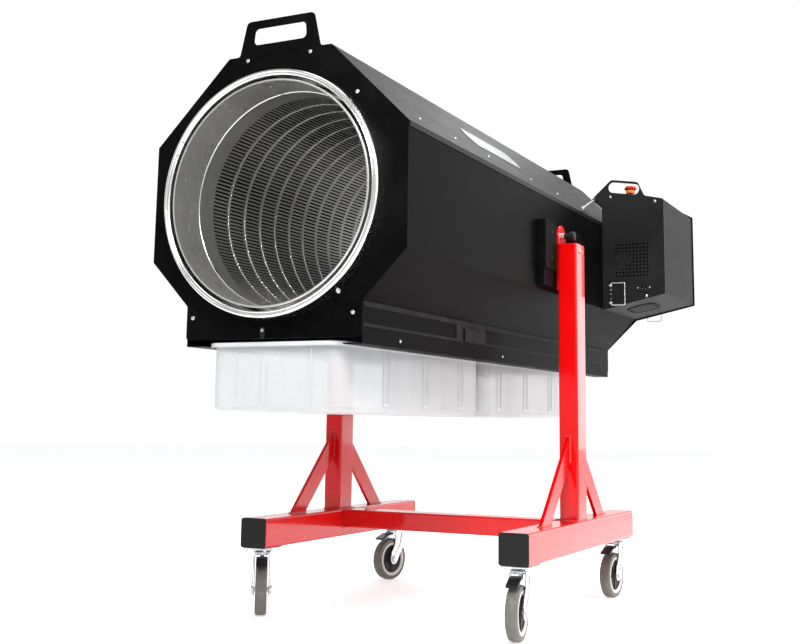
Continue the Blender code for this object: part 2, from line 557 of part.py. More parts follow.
# ----------------------------------------------------------------- drive box
def build_drive():
    x0 = HALF + 0.0008
    left = HALF + 0.0005
    low, high = AXIS_Z - 0.1395, AXIS_Z + 0.1970
    outline = rounded([(left, low), (BOX_X, low + 0.0445), (BOX_X, high), (HALF + 0.1350, high + 0.0140), (HALF + 0.1150, high + 0.0580),
                       (HALF + 0.0310, high + 0.0710), (HALF - 0.0270, high + 0.0185), (HALF - 0.0270, high + 0.0080),
                       (left, high - 0.0190)],
                      [0.002, 0.004, 0.006, 0.012, 0.012, 0.014, 0.003, 0.003, 0.003], 3)
    slot_tilt = math.radians(-9)
    slot = [(STOP_X + 0.0005 + x * math.cos(slot_tilt) - z * math.sin(slot_tilt),
             high + 0.0410 + x * math.sin(slot_tilt) + z * math.cos(slot_tilt))
            for x, z in rounded(rect(0.0980, 0.0330), 0.0155, 4)]
    inlet_x, inlet_z = HALF + 0.1290, low + 0.0650
    front = slab("box_front_plate", outline, 0.0030, (0.0, BOX_FRONT + 0.0015, 0.0), FLAT, BLACK, BODY, holes=[slot])
    cut(front, rod("inlet_hole", 0.0125, 0.05, (inlet_x, BOX_FRONT, inlet_z), FLAT, None, BODY, cutter=True))

    y0, y1 = BOX_FRONT + 0.0030 + GAP, REAR - PLATE_T - GAP
    skin = strip([(x0, low + 0.0035), (BOX_X - 0.001, low + 0.0465), (BOX_X - 0.001, high - 0.0020), (HALF + 0.1310, high + 0.0100),
                  (x0, high + 0.0100), (x0, high - 0.0570)], SHEET)
    box = slab("box_shell", skin, y1 - y0, (0.0, (y0 + y1) / 2, 0.0), FLAT, BLACK, BODY)
    top = high + 0.0103
    cut(box, rod("button_hole", 0.0100, 0.02, (STOP_X, STOP_Y, top), PLAN, None, BODY, cutter=True))

    # gearmotor with its output shaft, and the friction wheel that drives the rear hoop
    m0, m1 = BOX_FRONT + 0.0400, REAR_HOOP + 0.0275
    m = m1 - m0
    motor = [(0.0, m), (0.0080, m), (0.0080, m - 0.0700), (0.0200, m - 0.0720), (0.0200, m - 0.0800), (MOTOR_R, m - 0.0800),
             (MOTOR_R, m - 0.1450), (MOTOR_R - 0.0045, m - 0.1500), (MOTOR_R - 0.0045, 0.0150), (MOTOR_R - 0.0095, 0.0), (0.0, 0.0)]
    turned("gearmotor", motor, (DRIVE_X, m0, DRIVE_Z), ALONG_Y, PLASTIC, BODY, steps=24, ring=False)
    r = DRIVE_R
    h = 0.0130
    wheel = [(r, h), (r, -h), (r - 0.020, -h), (r - 0.022, -0.005), (0.0084, -0.005), (0.0084, 0.005), (r - 0.022, 0.005),
             (r - 0.020, h)]
    turned("drive_wheel", wheel, (DRIVE_X, REAR_HOOP, DRIVE_Z), ALONG_Y, RUBBER, BODY, steps=32)

    # emergency stop on top of the box
    base = [(0.0160, 0.0237), (0.0170, 0.0217), (0.0170, 0.0), (0.0095, 0.0), (0.0095, -0.0203), (0.0086, -0.0203), (0.0086, 0.0237)]
    turned("stop_collar", base, (STOP_X, STOP_Y, top), PLAN, AMBER, BODY, steps=24)
    head = [(0.0, 0.0527), (0.0120, 0.0517), (0.0185, 0.0467), (0.0195, 0.0397), (0.0180, 0.0297), (0.0080, 0.0287),
            (0.0080, -0.0143), (0.0, -0.0143)]
    turned("stop_button", head, (STOP_X, STOP_Y, top), PLAN, SIGNAL, BODY, steps=24, ring=False)

    # power inlet, with its neck through the front plate
    inlet = slab("power_inlet", rounded(rect(0.046, 0.020), 0.0095, 4), 0.0050, (inlet_x, BOX_FRONT - GAP - 0.0025, inlet_z),
                 FLAT, PLASTIC, BODY)
    add(inlet, rod("inlet_neck", 0.0120, 0.0300, (inlet_x, BOX_FRONT + 0.0140, inlet_z), FLAT, None, BODY, sides=20, cutter=True))

    # draw bail on the front plate: a wire frame in two lugs that are one with the plate
    hinge = Vector((HALF + 0.0270, BOX_FRONT - 0.0060, low + 0.0485))
    for dz in (-0.0270, 0.0270):
        z = hinge.z + dz
        add(front, block(f"lug_{dz}", (hinge.x - 0.0045, hinge.x + 0.0045), (hinge.y - 0.0045, BOX_FRONT + 0.0010), (z - 0.003, z + 0.003),
                         None, BODY, cutter=True))
        cut(front, rod(f"lug_eye_{dz}", 0.0021, 0.02, (hinge.x, hinge.y, z), PLAN, None, BODY, sides=16, cutter=True))
    wire = bpy.data.curves.new("latch_bail", "CURVE")
    wire.dimensions = "3D"
    wire.bevel_depth = 0.0017
    wire.bevel_resolution = 1
    wire.use_fill_caps = True
    path = [(0.0, -0.0230)] + rounded([(0.0, -0.0340), (0.0440, -0.0340), (0.0440, 0.0340), (0.0, 0.0340)], 0.0045, 3) + [(0.0, 0.0230)]
    sp = wire.splines.new("POLY")
    sp.points.add(len(path) - 1)
    for point, (x, z) in zip(sp.points, path):
        point.co = (x, 0.0, z, 1.0)
    place("latch_bail", wire, hinge, (0.0, 0.0, 0.0), ZINC, BODY)

    # stay rod from the edge of the cover to the box plate
    a = Vector((HALF + 0.0080, BOX_FRONT - 0.2175, AXIS_Z + CORNER + 0.0054))
    b = Vector((HALF - 0.0175, BOX_FRONT - 0.0030, high + 0.0130))
    axis = (b - a)
    rod("stay_rod", 0.0038, axis.length, (a + b) / 2, axis.to_track_quat("Z", "Y").to_euler(), STEEL, BODY, sides=12)


# ---------------------------------------------------------------------- tubs
def build_tubs():
    rim_w, rim_t = RIM_W, RIM_T
    z0 = TUB_TOP - TUB_D
    for name, y0 in zip(("front_tub", "rear_tub"), TUB_FRONT):
        y1 = y0 + TUB_L
        mid = (y0 + y1) / 2
        outer = rounded(rect(TUB_W, TUB_L - 2 * rim_w), 0.030, 4)
        tub = slab(name, outer, TUB_D - 0.0005, (0.0, mid, (z0 + TUB_TOP) / 2), PLAN, TUBS, BODY)
        rim = slab(f"{name}_rim", rounded(rect(TUB_W + 2 * rim_w, TUB_L), 0.034, 4), rim_t, (0.0, mid, TUB_TOP - rim_t / 2), PLAN, None,
                   BODY, cutter=True)
        add(tub, rim)
        inner = slab(f"{name}_inside", rounded(rect(TUB_W - 2 * TUB_WALL, TUB_L - 2 * rim_w - 2 * TUB_WALL), 0.028, 4), TUB_D + 0.02,
                     (0.0, mid, z0 + TUB_WALL + (TUB_D + 0.02) / 2), PLAN, None, BODY, cutter=True)
        cut(tub, inner)


build_stand()
build_castors()
build_housing()
build_pivots()
build_drum()
build_drive()
build_tubs()
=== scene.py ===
"""Looks of a rotary drum tumbler on a wheeled tilting stand.

Laid out as an add-on: sizes and colours in property groups, one operator for
each group of like pieces, one panel that lists them. Metres, +Z up.
"""
import json
import math

import bmesh
import bpy
from bpy.props import FloatProperty, FloatVectorProperty, IntProperty, PointerProperty
from mathutils import Matrix, Vector
from mathutils.geometry import tessellate_polygon


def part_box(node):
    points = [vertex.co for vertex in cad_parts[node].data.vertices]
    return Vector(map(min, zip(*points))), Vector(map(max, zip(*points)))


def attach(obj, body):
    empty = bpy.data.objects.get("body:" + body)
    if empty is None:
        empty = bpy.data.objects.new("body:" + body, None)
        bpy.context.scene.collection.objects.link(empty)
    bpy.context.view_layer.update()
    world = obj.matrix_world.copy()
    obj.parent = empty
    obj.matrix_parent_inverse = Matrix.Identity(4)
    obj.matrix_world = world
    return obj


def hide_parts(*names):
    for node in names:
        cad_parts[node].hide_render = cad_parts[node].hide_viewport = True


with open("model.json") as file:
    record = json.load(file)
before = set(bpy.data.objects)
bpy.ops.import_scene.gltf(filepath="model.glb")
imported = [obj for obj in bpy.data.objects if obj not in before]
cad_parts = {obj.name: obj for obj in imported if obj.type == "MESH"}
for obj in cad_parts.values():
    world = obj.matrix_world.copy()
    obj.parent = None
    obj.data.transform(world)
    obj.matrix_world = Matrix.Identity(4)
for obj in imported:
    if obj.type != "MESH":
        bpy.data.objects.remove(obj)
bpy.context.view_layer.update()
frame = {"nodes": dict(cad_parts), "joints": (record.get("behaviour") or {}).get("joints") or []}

bl_info = {
    "name": "Drum tumbler looks", "version": (1, 0, 0),
    "blender": (4, 5, 0), "location": "3D View > Sidebar > Tumbler",
    "description": "Finishes, fasteners and detailed pieces for a drum tumbler on a tilting stand",
    "category": "Object", }


def middle(node, axis):
    lo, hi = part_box(node)
    return (lo[axis] + hi[axis]) / 2


AT = Vector((middle("front_plate", 0), middle("left_post", 1), 0))    # the stand's own centre


def span(node):
    """Lowest and highest corner of a CAD node, measured from the stand's centre."""
    lo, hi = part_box(node)
    return Vector(lo) - AT, Vector(hi) - AT


def centre(node):
    lo, hi = span(node)
    return (lo + hi) / 2


def half_size(node, axis=0):
    lo, hi = span(node)
    return (hi[axis] - lo[axis]) / 2


def joint(name):
    return next(j for j in frame["joints"] if j["name"] == name)


RAIL = span("right_base_rail")
TUBE = RAIL[1].x - RAIL[0].x
RAIL_X = centre("right_base_rail").x
RAIL_TOP = RAIL[1].z
POST = span("right_post")
POST_W, POST_D = 2 * (POST[1].x - RAIL_X), POST[1].y - POST[0].y
PIVOT_Z = joint("body_tilt")["pos_m"][2]
EAR_R = span("right_ear")[1].z - PIVOT_Z
FRONT, FOOT = span("front_plate")[0].y, span("front_plate")[0].z
REAR = span("rear_plate")[1].y
PLATE_T = span("front_plate")[1].y - FRONT
GRIP_TOP = span("front_plate")[1].z
WING_X = span("rear_plate")[1].x
HALF = span("right_side_shell")[1].x + 0.0005
AXIS_Z = joint("drum_spin")["pos_m"][2]
CORNER = HALF * math.tan(math.radians(22.5))
SKIRT_X = HALF - 0.1016
SKIRT_Z = AXIS_Z - HALF + 0.086
RING_R = half_size("mouth_bezel")
RING_OUT = FRONT - span("mouth_bezel")[0].y
DRUM_Y = (span("drum_shell")[0].y, span("drum_shell")[1].y)
LIP_R = half_size("drum_shell")
DRUM_R = LIP_R - 0.004
HOOP_R = half_size("drum_front_hoop")
BOX_FACE = span("box_shell")[0].y - 0.0033
BOX_X = span("box_front_plate")[1].x
WHEEL_R = half_size("rear_left_wheel", 2)
FORK_W = 0.043
GAP = 0.0003
MM = 0.001
BOX_SHEET = 0.003
BRACE_REACH = 0.222
CAP = 0.004
CHEEK = 0.0033
EAR_WELD = 0.15          # how far down the post the ear is welded
VIEW_AT = (1.3665, -3.0023, 0.4958)
VIEW_TURN = (26.4194, 8.8812, 0.7432)     # degrees of yaw, pitch and roll
LENS, LENS_SHIFT = 51.58, (-0.0169, -0.0989)
# name, place, aim, size and watts of each lamp
LAMPS = (
    ("right", (4.0, -0.6, 2.2), (0.3, 0.0, 0.6), (1.6, 2.4), 55.0),
    ("floor_wash", (2.1, 1.9, 4.2), (1.1, 1.5, 0.0), (1.6, 1.6), 200.0),
    ("front", (1.3, -4.6, 2.9), (-0.1, -0.9, 0.9), (1.6, 1.2), 60.0),
    ("mouth", (0.9, -2.2, 2.2), (-0.15, -0.9, 0.8), (0.5, 0.4), 56.0),
    ("top", (0.0, -0.3, 3.6), (0.0, 0.0, 1.0), (1.2, 3.2), 35.0),
    ("back", (-1.8, 3.4, 2.6), (0.0, 0.4, 1.0), (2.4, 1.4), 45.0))
ANY_TURN = 6.28          # screws are turned at random by up to this

FACING_FRONT = Matrix.Rotation(math.radians(90), 4, "X")                     # outline (x, z), depth towards -y
FACING_SIDE = Matrix(((0, 0, 1, 0), (1, 0, 0, 0), (0, 1, 0, 0), (0, 0, 0, 1)))   # outline (y, z), depth towards +x
FLAT = Matrix.Identity(4)
ALONG = Matrix.Rotation(math.radians(-90), 4, "X")      # height of a profile towards +y


def shift(x=0, y=0, z=0):
    return Matrix.Translation((x, y, z))


def turned(angle, axis):
    return Matrix.Rotation(angle, 4, axis)


def mm(*numbers):
    """Pairs of metres from a run of millimetres."""
    return [(a * MM, b * MM) for a, b in zip(numbers[::2], numbers[1::2])]


# ---- property groups
def length(name, about, value):
    return FloatProperty(name=name, description=about, default=value, unit="LENGTH")


def tint(name, about, value):
    return FloatVectorProperty(name=name, description=about, subtype="COLOR", default=value)


class TumblerSizes(bpy.types.PropertyGroup):
    """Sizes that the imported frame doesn't hold."""
    edge: length("Sheet edge", "Rounding of cut sheet edges", 0.0009)
    tube_corner: length("Tube corner", "Outside corner radius of the square tube", 0.006)
    post_top: length("Post height", "Top of the two posts", 0.985)
    slots_round: IntProperty(name="Slots round the drum", description="Slots in one turn of the drum wall",
            default=176, min=24)
    slot_rows: IntProperty(name="Rows of slots", description="Rows of slots along the drum", default=22, min=1)
    row_pitch: length("Row pitch", "Distance between rows of slots", 0.0675)
    slot_length: length("Slot length", "Length of one slot along the drum", 0.0585)
    slot_width: length("Slot width", "Width of one slot round the drum", 0.0043)
    slot_start: length("First slot", "Where the first row of slots starts", -0.8235)
    collar: length("Collar seam", "Where the plain collar of the drum ends", -0.8765)
    vent_pitch: length("Vent pitch", "Distance between the vent holes", 0.0108)
    vent_hole: length("Vent hole", "Radius of one vent hole", 0.0031)
    screw_head: length("Screw head", "Radius of a pan head screw", 0.0042)
    bead: length("Weld bead", "Half width of a weld bead", 0.003)


class TumblerColours(bpy.types.PropertyGroup):
    """Base colours of the finishes."""
    paint: tint("Frame paint", "Gloss paint of the stand", (0.56, 0.0008, 0.0011))
    powder: tint("Powder coat", "Black powder coat of the housing", (0.0015, 0.0015, 0.0017))
    cover: tint("Cover", "Coating of the top cover", (0.0055, 0.0055, 0.0058))
    bright: tint("Bright steel", "Polished mouth rings", (0.86, 0.86, 0.85))
    drum: tint("Drum steel", "Drum wall", (0.4, 0.4, 0.39))
    zinc: tint("Zinc", "Plated fasteners and forks", (0.6, 0.62, 0.64))
    tyre: tint("Tyre", "Castor tread", (0.105, 0.098, 0.085))
    plastic: tint("Black plastic", "Caps, knobs and pedals", (0.006, 0.006, 0.0065))
    tub: tint("Tub", "Milky plastic of the tubs", (0.6, 0.61, 0.62))
    signal: tint("Signal red", "Stop button", (0.4, 0.016, 0.008))
    amber: tint("Amber", "Collar of the stop button", (0.8, 0.22, 0.03))


def sizes():
    return bpy.context.scene.tumbler_sizes


def colours():
    return bpy.context.scene.tumbler_colours


# ---- node maths
def maths(operation, swapped=False):
    """A method that adds one maths node."""
    def method(self, other):
        return self.graph.maths(operation, *((other, self) if swapped else (self, other)))
    return method


class Value:
    """One output socket, so that node maths reads as a Python expression."""

    def __init__(self, graph, socket):
        self.graph, self.socket = graph, socket

    __add__, __radd__ = maths("ADD"), maths("ADD", True)
    __sub__, __rsub__ = maths("SUBTRACT"), maths("SUBTRACT", True)
    __mul__, __truediv__, __gt__ = maths("MULTIPLY"), maths("DIVIDE"), maths("GREATER_THAN")

    def out(self, name):
        """Another output of the same node."""
        return Value(self.graph, self.socket.node.outputs[name])

    def apply(self, operation, *others):
        return self.graph.maths(operation, self, *others)


class Graph:
    """Adds nodes to a shader tree or a geometry tree."""

    def __init__(self, tree):
        self.tree = tree

    def node(self, kind, settings=None, values=None, out=0):
        made = self.tree.nodes.new(kind)
        for key, value in (settings or {}).items():
            setattr(made, key, value)
        for key, value in (values or {}).items():
            if isinstance(value, Value):
                self.tree.links.new(value.socket, made.inputs[key])
            elif value is not None:
                made.inputs[key].default_value = value
        return Value(self, made.outputs[out])

    def maths(self, operation, *values):
        return self.node("ShaderNodeMath", {"operation": operation}, dict(enumerate(values)))

    def place(self, scale=(1.0, 1.0, 1.0), turn=(0, 0, 0)):
        """Object coordinates, in metres from the stand's centre, then turned and scaled."""
        at = self.node("ShaderNodeTexCoord", out="Object")
        at = self.node("ShaderNodeVectorMath", {"operation": "SUBTRACT"}, {0: at, 1: tuple(AT)})
        return self.node("ShaderNodeMapping", None, {"Vector": at, "Rotation": turn, "Scale": scale})

    def axis(self, vector, name):
        return self.node("ShaderNodeSeparateXYZ", None, {0: vector}).out(name)

    def noise(self, vector, scale, detail=3.0, rough=0.55):
        return self.node("ShaderNodeTexNoise", None, {"Vector": vector, "Scale": scale, "Detail": detail,
                "Roughness": rough})

    def between(self, value, low, high, to_low=0, to_high=1.0):
        """The value's share between low and high, kept inside them."""
        return self.node("ShaderNodeMapRange", {"clamp": True},
                         {"Value": value, "From Min": low, "From Max": high, "To Min": to_low, "To Max": to_high})

    def blend(self, share, a, b, how="MIX"):
        rgba = [v if isinstance(v, Value) else (*v, 1.0) for v in (a, b)]
        return self.node("ShaderNodeMix", {"data_type": "RGBA", "blend_type": how}, {0: share, 6: rgba[0], 7: rgba[1]},
                out=2)

    def bump(self, height, distance, strength):
        return self.node("ShaderNodeBump", None, {"Height": height, "Distance": distance, "Strength": strength})

    def end(self, kind, value):
        """Links the value to the first input of the tree's output node."""
        self.tree.links.new(value.socket, self.tree.nodes.new(kind).inputs[0])


def dim(colour, share):
    return tuple(c * share for c in colour)


MADE = {}


def finish(name):
    """The material of that name, made the first time it is asked for."""
    if name not in MADE:
        mat = bpy.data.materials.new(name)
        mat.use_nodes = True
        mat.node_tree.nodes.clear()
        g = Graph(mat.node_tree)
        g.end("ShaderNodeOutputMaterial", g.node("ShaderNodeBsdfPrincipled", None, RECIPES[name](g, mat)))
        MADE[name] = mat
    return MADE[name]


# ---- finishes
def red_paint(g, mat):
    c = tuple(colours().paint)
    at = g.place()
    drift = g.noise(at, 9.0, 3.0)
    peel = g.noise(at, 420.0, 2.0)
    dust = g.noise(at, 150.0, 4.0, 0.7)
    low = g.between(g.axis(at, "Z"), 0.17, 0.34, 1.0, 0)
    grime = g.between(dust, 0.56, 0.74) * (0.1 + low * 0.22)
    colour = g.blend(g.between(drift, 0.35, 0.65), dim(c, 0.9), c)
    colour = g.blend(grime * 0.25, colour, (0.3, 0.08, 0.06))
    normal = g.bump(peel, 0.00003, 0.12)
    return {"Base Color": colour, "Roughness": 0.2 + drift * 0.1 + grime * 0.5, "Coat Weight": 0.6,
            "Coat Roughness": 0.05, "Specular IOR Level": 0.12, "Normal": normal}


def powder(tone, rough, grain=2600.0, gloss=0.012):
    """Powder coat: fine leather-like grain, soft handling marks and a little settled dust on what faces up."""
    def recipe(g, mat):
        c = tuple(tone())
        at = g.place()
        pebble = g.noise(at, grain, 2.0)
        orange = g.noise(at, 260.0, 2.0)
        hands = g.noise(g.place((1.0, 0.35, 1.0)), 7.0, 5.0, 0.6)
        specks = g.between(g.noise(at, 900.0, 1.0), 0.7, 0.78)
        up = g.axis(g.node("ShaderNodeNewGeometry", out="Normal"), "Z")
        dust = g.between(up, 0.2, 1.0) * g.between(g.noise(at, 60.0, 5.0, 0.7), 0.42, 0.75) * 0.5
        colour = g.blend(g.between(hands, 0.35, 0.7), c, tuple(v * 1.35 + 0.002 for v in c))
        colour = g.blend(specks * 0.15, colour, (0.03, 0.03, 0.03))
        colour = g.blend(dust * 0.08, colour, (0.2, 0.19, 0.18))
        normal = g.bump(pebble + orange * 0.8, 0.00018, 0.4)
        return {"Base Color": colour, "Roughness": rough + (hands - 0.5) * 0.16 + dust * 0.25,
                "Specular IOR Level": gloss, "Normal": normal}
    return recipe


def bright_steel(g, mat):
    c = tuple(colours().bright)
    at = g.place()
    smear = g.noise(at, 14.0, 5.0, 0.65)
    hair = g.noise(g.place((1.0, 5.0, 1.0)), 30.0, 2.0)
    colour = g.blend(g.between(smear, 0.35, 0.7), c, dim(c, 0.9))
    return {"Base Color": colour, "Metallic": 1.0, "Roughness": 0.16 + hair * 0.04 + g.between(smear, 0.5,
            0.75) * 0.06}


def drum_steel(g, mat):
    c = tuple(colours().drum)
    at = g.place()
    rolled = g.noise(g.place((1.0, 0.06, 1.0)), 240.0, 3.0)
    cloud = g.noise(at, 11.0, 6.0, 0.62)
    fines = g.noise(at, 70.0, 6.0, 0.75)
    film = g.between(cloud, 0.45, 0.72)
    colour = g.blend(film * 0.45, c, (0.3, 0.29, 0.27))
    colour = g.blend(g.between(fines, 0.62, 0.8) * 0.35, colour, (0.3, 0.28, 0.25))
    return {"Base Color": colour, "Metallic": 0.85, "Roughness": 0.26 + rolled * 0.1 + film * 0.12,
            "Normal": g.bump(rolled + fines * 0.4, 0.00006, 0.45)}


def collar_steel(g, mat):
    c = tuple(colours().drum)
    at = g.place()
    across = g.noise(g.place((1.0, 9.0, 1.0)), 130.0, 3.0)
    cloud = g.noise(at, 13.0, 7.0, 0.66)
    stain = g.between(cloud, 0.42, 0.66)
    colour = g.blend(stain * 0.5, dim(c, 1.5), (0.36, 0.34, 0.3))
    return {"Base Color": colour, "Metallic": 0.86, "Roughness": 0.24 + stain * 0.14 + across * 0.06,
            "Normal": g.bump(across + cloud * 0.7, 0.0001, 0.5)}


def zinc(g, mat):
    c = tuple(colours().zinc)
    at = g.place()
    spangle = g.node("ShaderNodeTexVoronoi", None, {"Vector": at, "Scale": 330.0}, out="Distance")
    wear = g.noise(at, 60.0, 5.0, 0.65)
    dull = g.between(wear, 0.48, 0.7)
    colour = g.blend(dull * 0.5, c, (0.47, 0.47, 0.46))
    return {"Base Color": colour, "Metallic": 1.0, "Roughness": 0.2 + spangle * 0.14 + dull * 0.2,
            "Normal": g.bump(wear, 0.00012, 0.35)}


def rubber(tone, rough, grain):
    def recipe(g, mat):
        c = tuple(tone())
        at = g.place()
        scuff = g.noise(at, 55.0, 6.0, 0.7)
        fine = g.noise(at, grain, 3.0)
        worn = g.between(scuff, 0.5, 0.7)
        colour = g.blend(worn * 0.45, c, tuple(v * 1.9 + 0.02 for v in c))
        return {"Base Color": colour, "Roughness": rough + worn * 0.15 + (fine - 0.5) * 0.1,
                "Normal": g.bump(fine + scuff, 0.0003, 0.4)}
    return recipe


def moulded(tone, rough, grain=1500.0):
    """Moulded plastic: spark-eroded grain with a few shiny rub marks."""
    def recipe(g, mat):
        c = tuple(tone())
        at = g.place()
        skin = g.noise(at, grain, 2.0)
        rub = g.between(g.noise(at, 24.0, 4.0, 0.6), 0.5, 0.68)
        colour = g.blend(rub * 0.5, c, tuple(v * 1.3 + 0.004 for v in c))
        return {"Base Color": colour, "Roughness": rough - rub * 0.1 + (skin - 0.5) * 0.12, "Specular IOR Level": 0.2,
                "Normal": g.bump(skin, 0.00016, 0.5)}
    return recipe


def tub_plastic(g, mat, thick=0):
    # thick makes the thicker ribs more opaque and also darkens their colour, as painted shade along the ribs
    c = dim(tuple(colours().tub), 1.0 - thick * 0.45)
    at = g.place()
    flow = g.noise(g.place((1.0, 1.0, 0.25)), 16.0, 4.0)
    haze = g.noise(at, 210.0, 3.0)
    scratch = g.between(g.noise(g.place((1.0, 1.0, 9.0)), 70.0, 3.0), 0.66, 0.8)
    z = g.axis(at, "Z")
    top = span("front_tub")[1].z
    rim = g.between(z, top - 0.012, top - 0.004)
    floor = g.between(z, top - 0.15, top - 0.138, 1.0, 0)
    alpha = 0.32 + flow * 0.16 + rim * 0.3 + floor * 0.22 + scratch * 0.08
    colour = g.blend(g.between(flow, 0.35, 0.7), c, dim(c, 0.95))
    mat.surface_render_method = "DITHERED"
    return {"Base Color": colour, "Roughness": 0.3 + haze * 0.12 + scratch * 0.2,
            "Alpha": (alpha + thick).apply("MINIMUM", 0.97),
            "Specular IOR Level": 0.42, "Normal": g.bump(haze, 0.0002, 0.25)}


def weld(g, mat):
    c = tuple(colours().paint)
    at = g.place()
    lump = g.noise(at, 260.0, 4.0)
    colour = g.blend(g.between(lump, 0.4, 0.7), dim(c, 0.8), c)
    return {"Base Color": colour, "Roughness": 0.25 + lump * 0.2, "Coat Weight": 0.5, "Coat Roughness": 0.08,
            "Normal": g.bump(lump, 0.0005, 0.5)}


def floor_finish(g, mat):
    at = g.place()
    cloud = g.noise(at, 0.8, 2.0)
    return {"Base Color": g.blend(cloud, (0.88, 0.88, 0.88), (0.91, 0.91, 0.91)), "Roughness": 0.8,
            "Specular IOR Level": 0.1, "Emission Color": (0.4, 0.4, 0.4, 1.0), "Emission Strength": 1.0}


RECIPES = {
    "red paint": red_paint, "weld bead": weld, "black powder coat": powder(lambda: colours().powder, 0.4),
    "satin plate": powder(lambda: colours().powder, 0.33, 2100.0),
    "cover coat": powder(lambda: colours().cover, 0.42, 2600.0, 0.07),
    "box coat": powder(lambda: (0.0085, 0.0085, 0.0088), 0.36, 2100.0, 0.06),
    # flat dark matte finish for strips that paint shadow in gaps, grooves and creases; the black block on the skirt
    # uses it too
    "painted shadow and black block": moulded(lambda: (0.004, 0.004, 0.004), 0.75),
    "bright steel": bright_steel, "drum steel": drum_steel,
    "collar steel": collar_steel, "zinc": zinc, "tread rubber": rubber(lambda: colours().tyre, 0.6, 700.0),
    "label alloy": moulded(lambda: (0.17, 0.175, 0.175), 0.38, 1200.0),
    "rim plastic": moulded(lambda: (0.5, 0.495, 0.48), 0.45),
    "hub plastic": moulded(lambda: (0.02, 0.02, 0.019), 0.42),
    "roller rubber": rubber(lambda: (0.022, 0.022, 0.022), 0.65, 900.0),
    "motor casting": moulded(lambda: (0.075, 0.078, 0.082), 0.5, 500.0),
    "black plastic": moulded(lambda: colours().plastic, 0.42),
    # tub ribs: the same plastic, more opaque and darkened as painted shade
    "tub plastic": tub_plastic, "tub rib with painted shade": lambda g, mat: tub_plastic(g, mat, 0.35),
    "signal red": moulded(lambda: colours().signal, 0.3, 900.0),
    "amber collar": moulded(lambda: colours().amber, 0.35, 900.0),
    "floor": floor_finish, }


# ---- shapes
def rounded(points, radius, steps=5):
    """Outline with each corner rounded; radius may be one value or one per corner."""
    out = []
    n = len(points)
    for i, here in enumerate(points):
        r = radius[i] if isinstance(radius, (list, tuple)) else radius
        p, a, b = Vector(here), Vector(points[i - 1]), Vector(points[(i + 1) % n])
        if r <= 0:
            out.append(tuple(p))
            continue
        u, v = (a - p).normalized(), (b - p).normalized()
        half = u.angle(v) / 2
        back = r / math.tan(half)
        centre = p + (u + v).normalized() * (r / math.sin(half))
        start, end = p + u * back - centre, p + v * back - centre
        sweep = math.atan2(start.x * end.y - start.y * end.x, start.dot(end))
        for k in range(steps + 1):
            t = sweep * k / steps
            out.append((centre.x + start.x * math.cos(t) - start.y * math.sin(t),
                        centre.y + start.x * math.sin(t) + start.y * math.cos(t)))
    return out


def circle(radius, at=(0, 0), sides=48):
    return [(at[0] + radius * math.cos(t), at[1] + radius * math.sin(t)) for t in
            (2 * math.pi * k / sides for k in range(sides))]


def rect(w, h, at=(0, 0)):
    return [(at[0] + a * w / 2, at[1] + b * h / 2) for a, b in ((-1, -1), (1, -1), (1, 1), (-1, 1))]


def area(loop):
    return sum(a[0] * b[1] - b[0] * a[1] for a, b in zip(loop, loop[1:] + loop[:1])) / 2


def inset(loop, by):
    """The loop moved to its left by the given distance, corner by corner."""
    out = []
    n = len(loop)
    for i in range(n):
        p, a, b = Vector(loop[i]), Vector(loop[i - 1]), Vector(loop[(i + 1) % n])
        u, v = (p - a), (b - p)
        u.normalize(), v.normalize()
        nu, nv = Vector((-u.y, u.x)), Vector((-v.y, v.x))
        mean = nu + nv
        if mean.length > 1e-6:
            mean.normalize()
            p = p + mean * by / max(mean.dot(nu), 0.35)
        out.append(tuple(p))
    return out


